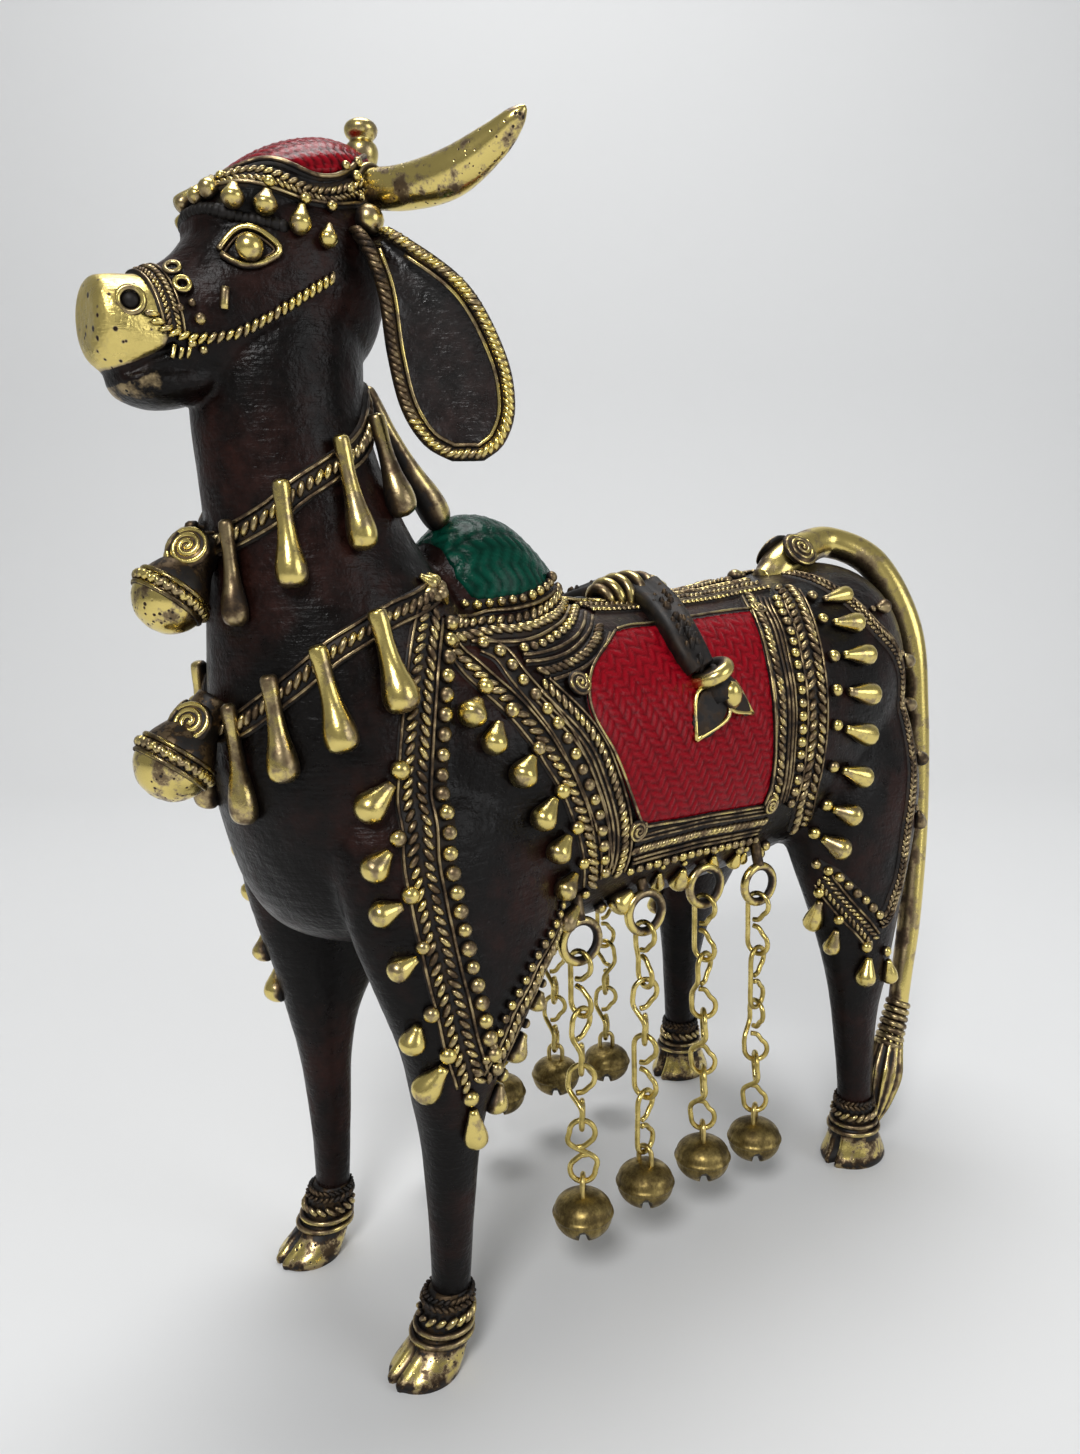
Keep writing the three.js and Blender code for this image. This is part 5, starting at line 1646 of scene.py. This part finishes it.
RING_SPOTS = [(-108, 336), (-30, 344), (49, 352), (127, 337)]
RING_SPREAD = 113
RING_WIDTH = 12.6 * MM
RING_THICKNESS = 2.4 * MM
RING_TURN = math.radians(-8)
WIRE = 1.4 * MM
EYE_WIDTH = 7.8 * MM
VIEW_TURN = -39  # degrees; most eyes of the links are turned so from the length of the body
CHAIN_TURNS = [
    ([(-42, -42), (45, 85), (-5, 85), (-5, 175)], 85), ([(-48, -62), (15, 80), (-32, -34), (48, 46)], -45),
    ([(-42, -42), (50, 0), (88, 0), (88, 0)], 88), ([(-40, -42), (46, 46), (-66, 0), (88, 0)], 70),
]
BELL_WIDTH = 15.6 * MM
BELL_RISE = 5.4 * MM
BELL_DEPTH = 6.4 * MM
BELL_RIDGE = 0.45 * MM
SLIT_WIDTH = 1.6 * MM
SLIT_DEPTH = 1.8 * MM
SLIT_REACH = 0.37 * BELL_WIDTH  # from the middle to the round hole at each end
SLIT_END_RADIUS = 1.35 * MM
SLIT_TURN = math.radians(49)
LOOP_WIDTH = 5.6 * MM
LOOP_RISE = 5.2 * MM


def cast_rings():
    form = Form()
    radius = (RING_WIDTH - RING_THICKNESS) / 2
    along = turned(RING_TURN, X, Y)
    around = all_round(48, along, Z)
    tops = unit(around - 0.8 * np.cross(Z, along))
    for x, z in RING_SPOTS:
        centre = at(x, -RING_SPREAD, z)
        tube(form, centre + around * radius, RING_THICKNESS / 2, 16, closed=True, outs=tops, shine=0.95)
        seat, _ = cast(at(x, -RING_SPREAD + 6, 0), Z)
        top = centre + Z * radius
        stem = through([top, (top + seat) / 2, seat + Z * MM], 5)
        tube(form, stem, RING_THICKNESS * 0.62, 14, shine=0.45)
    made(form.both_sides(), "cast_rings", THREAD)


def eye_of_link(half):
    """The path of a link's upper eye in its own plane, from the wire's end to the side that runs on."""
    r = (EYE_WIDTH - WIRE) / 2
    arc = np.radians(np.linspace(-60, 180, 9))
    bend = np.stack([r * np.cos(arc), half - r + r * np.sin(arc)], axis=1)
    return [(-0.45 * r, 0.62 * WIRE), (0.1 * r, 0.9 * WIRE), *bend, (-r, 0.35 * (half - r))]


def link(node, middle, upper, lower):
    low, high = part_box(node)
    half = (high[2] - low[2]) / 2 - 0.28 * WIRE
    height = (high[2] + low[2]) / 2
    places = []
    for turn, up in ((upper, 1), (lower, -1)):
        flat = turned(turn, X, Y)
        places.append([middle + flat * s + Z * (height + up * t) for s, t in eye_of_link(half)])
    path = evened(through(places[0] + places[1][::-1], 10), 0.45 * MM)
    form = Form()
    tube(form, path, WIRE / 2, 12)
    made(form, node, CHAIN, [node])


def bell_rings():
    """A bell's skin round its own middle, with the slit pressed in, and how deep in each point is, to 1."""
    radius = BELL_WIDTH / 2
    rim = radius - 0.15 * MM
    up, down = np.linspace(0.05, 1.54, 16), np.linspace(1.54, 0.03, 30)
    dome = BELL_RIDGE + (BELL_RISE - BELL_RIDGE) * np.cos(up) ** 0.9, 0.94 * radius * np.sin(up) ** 1.1
    bowl = -BELL_RIDGE - (BELL_DEPTH - BELL_RIDGE) * np.cos(down), 0.95 * radius * np.sin(down) ** 0.9
    rows = [*zip(*dome), (BELL_RIDGE, rim), (0, radius), (-BELL_RIDGE, rim), *zip(*bowl)]
    around = all_round(64, X, Y)
    rings = np.array([around * r + Z * z for z, r in rows])
    s, t = rings @ turned(SLIT_TURN, X, Y), rings @ turned(SLIT_TURN, Y, -X)
    past_end = np.abs(s) - SLIT_REACH
    slot = np.abs(t) - SLIT_WIDTH / 2 + 1e3 * np.maximum(past_end, 0)
    hole = np.hypot(past_end, t) - SLIT_END_RADIUS
    deep = 1 - step_between(-0.1 * MM, 0.35 * MM, np.minimum(slot, hole))
    deep *= rings[..., 2] < -BELL_RIDGE * 2
    rings[..., 2] += SLIT_DEPTH * deep
    return rings, deep


def bell(node, middle, turn):
    _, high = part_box(node)
    place = middle + Z * (high[2] - LOOP_RISE - BELL_RISE)
    rings, deep = bell_rings()
    # The slit is only pressed in; its near-black colour is painted shade for the bell's dark hollow seen
    # through it.
    polish = np.where(deep > 0.5, -0.6, 0.45)
    form = Form().add(*loft(rings + place), np.concatenate([polish.ravel(), [0.5, -0.6]]))
    half = (LOOP_WIDTH - WIRE) / 2
    top = BELL_RISE + LOOP_RISE - WIRE / 2 - half
    arc = np.linspace(np.pi, 0, 9)
    foot = BELL_RISE - 1.2 * MM
    loop = [(-half, foot), *zip(half * np.cos(arc), top + half * np.sin(arc)), (half, foot)]
    flat = turned(turn, X, Y)
    path = evened(through([place + flat * a + Z * b for a, b in loop], 5), 0.5 * MM)
    tube(form, path, WIRE / 2, 12, shine=0.8)
    made(form, node, BELL, [node])


def chains():
    for side, sign in (("left", -1), ("right", 1)):
        for i, (links, loop) in enumerate(CHAIN_TURNS):
            middle = at(RING_SPOTS[i][0], sign * RING_SPREAD, 0)
            for k, turns in enumerate(np.radians(-sign * (VIEW_TURN + np.array(links)))):
                link(f"chain_{side}_{i + 1}_link_{k + 1}", middle, *turns)
            bell(f"bell_{side}_{i + 1}", middle, math.radians(-sign * (VIEW_TURN + loop)))


flap()
saddle_threads()
panel()
rump_threads()
hump_and_cap()
cap_trim()
horns()
ears()
face()
necklaces()
throat()
back_cord()
tail()
feet()
cast_rings()
chains()


# Floor, light and camera


LIT_PLACE = (0, 0, 0.14)


def area_light(name, place, size, power, colour=(1, 1, 1)):
    data = bpy.data.lights.new(name, "AREA")
    data.shape = "DISK"
    data.size = size
    data.energy = power
    data.color = colour
    lamp = bpy.data.objects.new(name, data)
    lamp.location = place
    lamp.rotation_euler = (Vector(LIT_PLACE) - Vector(place)).to_track_quat("-Z", "Y").to_euler()
    bpy.context.scene.collection.objects.link(lamp)


def studio():
    """A pale floor that rises behind the figure in one curve, and soft lamps."""
    facing = math.radians(CAMERA_TURN)
    across, behind = turned(facing, X, Y), turned(facing, Y, -X)
    bend = [(0.55 + 0.35 * math.sin(t), 0.35 * (1 - math.cos(t))) for t in np.linspace(0.1, math.pi / 2, 12)]
    rows = [behind * a + Z * b for a, b in [(-2.2, 0), (0.55, 0), *bend, (0.9, 2.4)]]
    points = np.array([row + across * side for row in rows for side in np.linspace(-2.5, 2.5, 8)])
    floor = bpy.data.objects.new("floor", mesh_from("floor", points, grid_faces(len(rows), 8)))
    paint = Paint("floor")
    floor.data.materials.append(paint.set(Base_Color=(0.73, 0.735, 0.738, 1), Roughness=0.75))
    bpy.context.scene.collection.objects.link(floor)
    area_light("key", (-0.9, -0.75, 1.15), 0.5, 12)
    area_light("fill", (0.5, -1.2, 0.55), 0.8, 4, (0.96, 0.98, 1))
    area_light("top", (0.15, 0.25, 1.3), 0.7, 8)
    world = bpy.data.worlds.new("room")
    world.use_nodes = True
    sky = world.node_tree.nodes["Background"].inputs
    sky["Color"].default_value = (0.88, 0.885, 0.885, 1)
    sky["Strength"].default_value = 0.30
    bpy.context.scene.world = world


# The camera, worked out from the feet, the upright chains and the even rings in the photograph.
PHOTO_HEIGHT = 1454
CAMERA_PLACE = (-200.21 * MM + SHIFT, -227.63 * MM, 191.29 * MM)
CAMERA_TURN = -38.963  # degrees, from looking along +Y
CAMERA_DIP = 9.751  # degrees below the horizon
CAMERA_ROLL = -0.921
FOCAL_PIXELS = 1124.55
SENSOR = 36


def camera():
    data = bpy.data.cameras.new("camera")
    data.sensor_fit = "VERTICAL"
    data.sensor_height = SENSOR
    data.lens = FOCAL_PIXELS * SENSOR / PHOTO_HEIGHT
    data.clip_start = 0.01
    data.clip_end = 20
    lens = bpy.data.objects.new("camera", data)
    turn, dip, roll = (math.radians(v) for v in (CAMERA_TURN, CAMERA_DIP, CAMERA_ROLL))
    right, ahead = turned(turn, X, Y), turned(dip, turned(turn, Y, -X), -Z)
    up = np.cross(right, ahead)
    axes = np.stack([turned(roll, right, up), turned(roll, up, -right), -ahead], axis=1)
    lens.matrix_world = Matrix([[*row, place] for row, place in zip(axes, CAMERA_PLACE)] + [[0, 0, 0, 1]])
    bpy.context.scene.collection.objects.link(lens)
    bpy.context.scene.camera = lens


studio()
camera()
bpy.context.scene.view_settings.view_transform = "Standard"
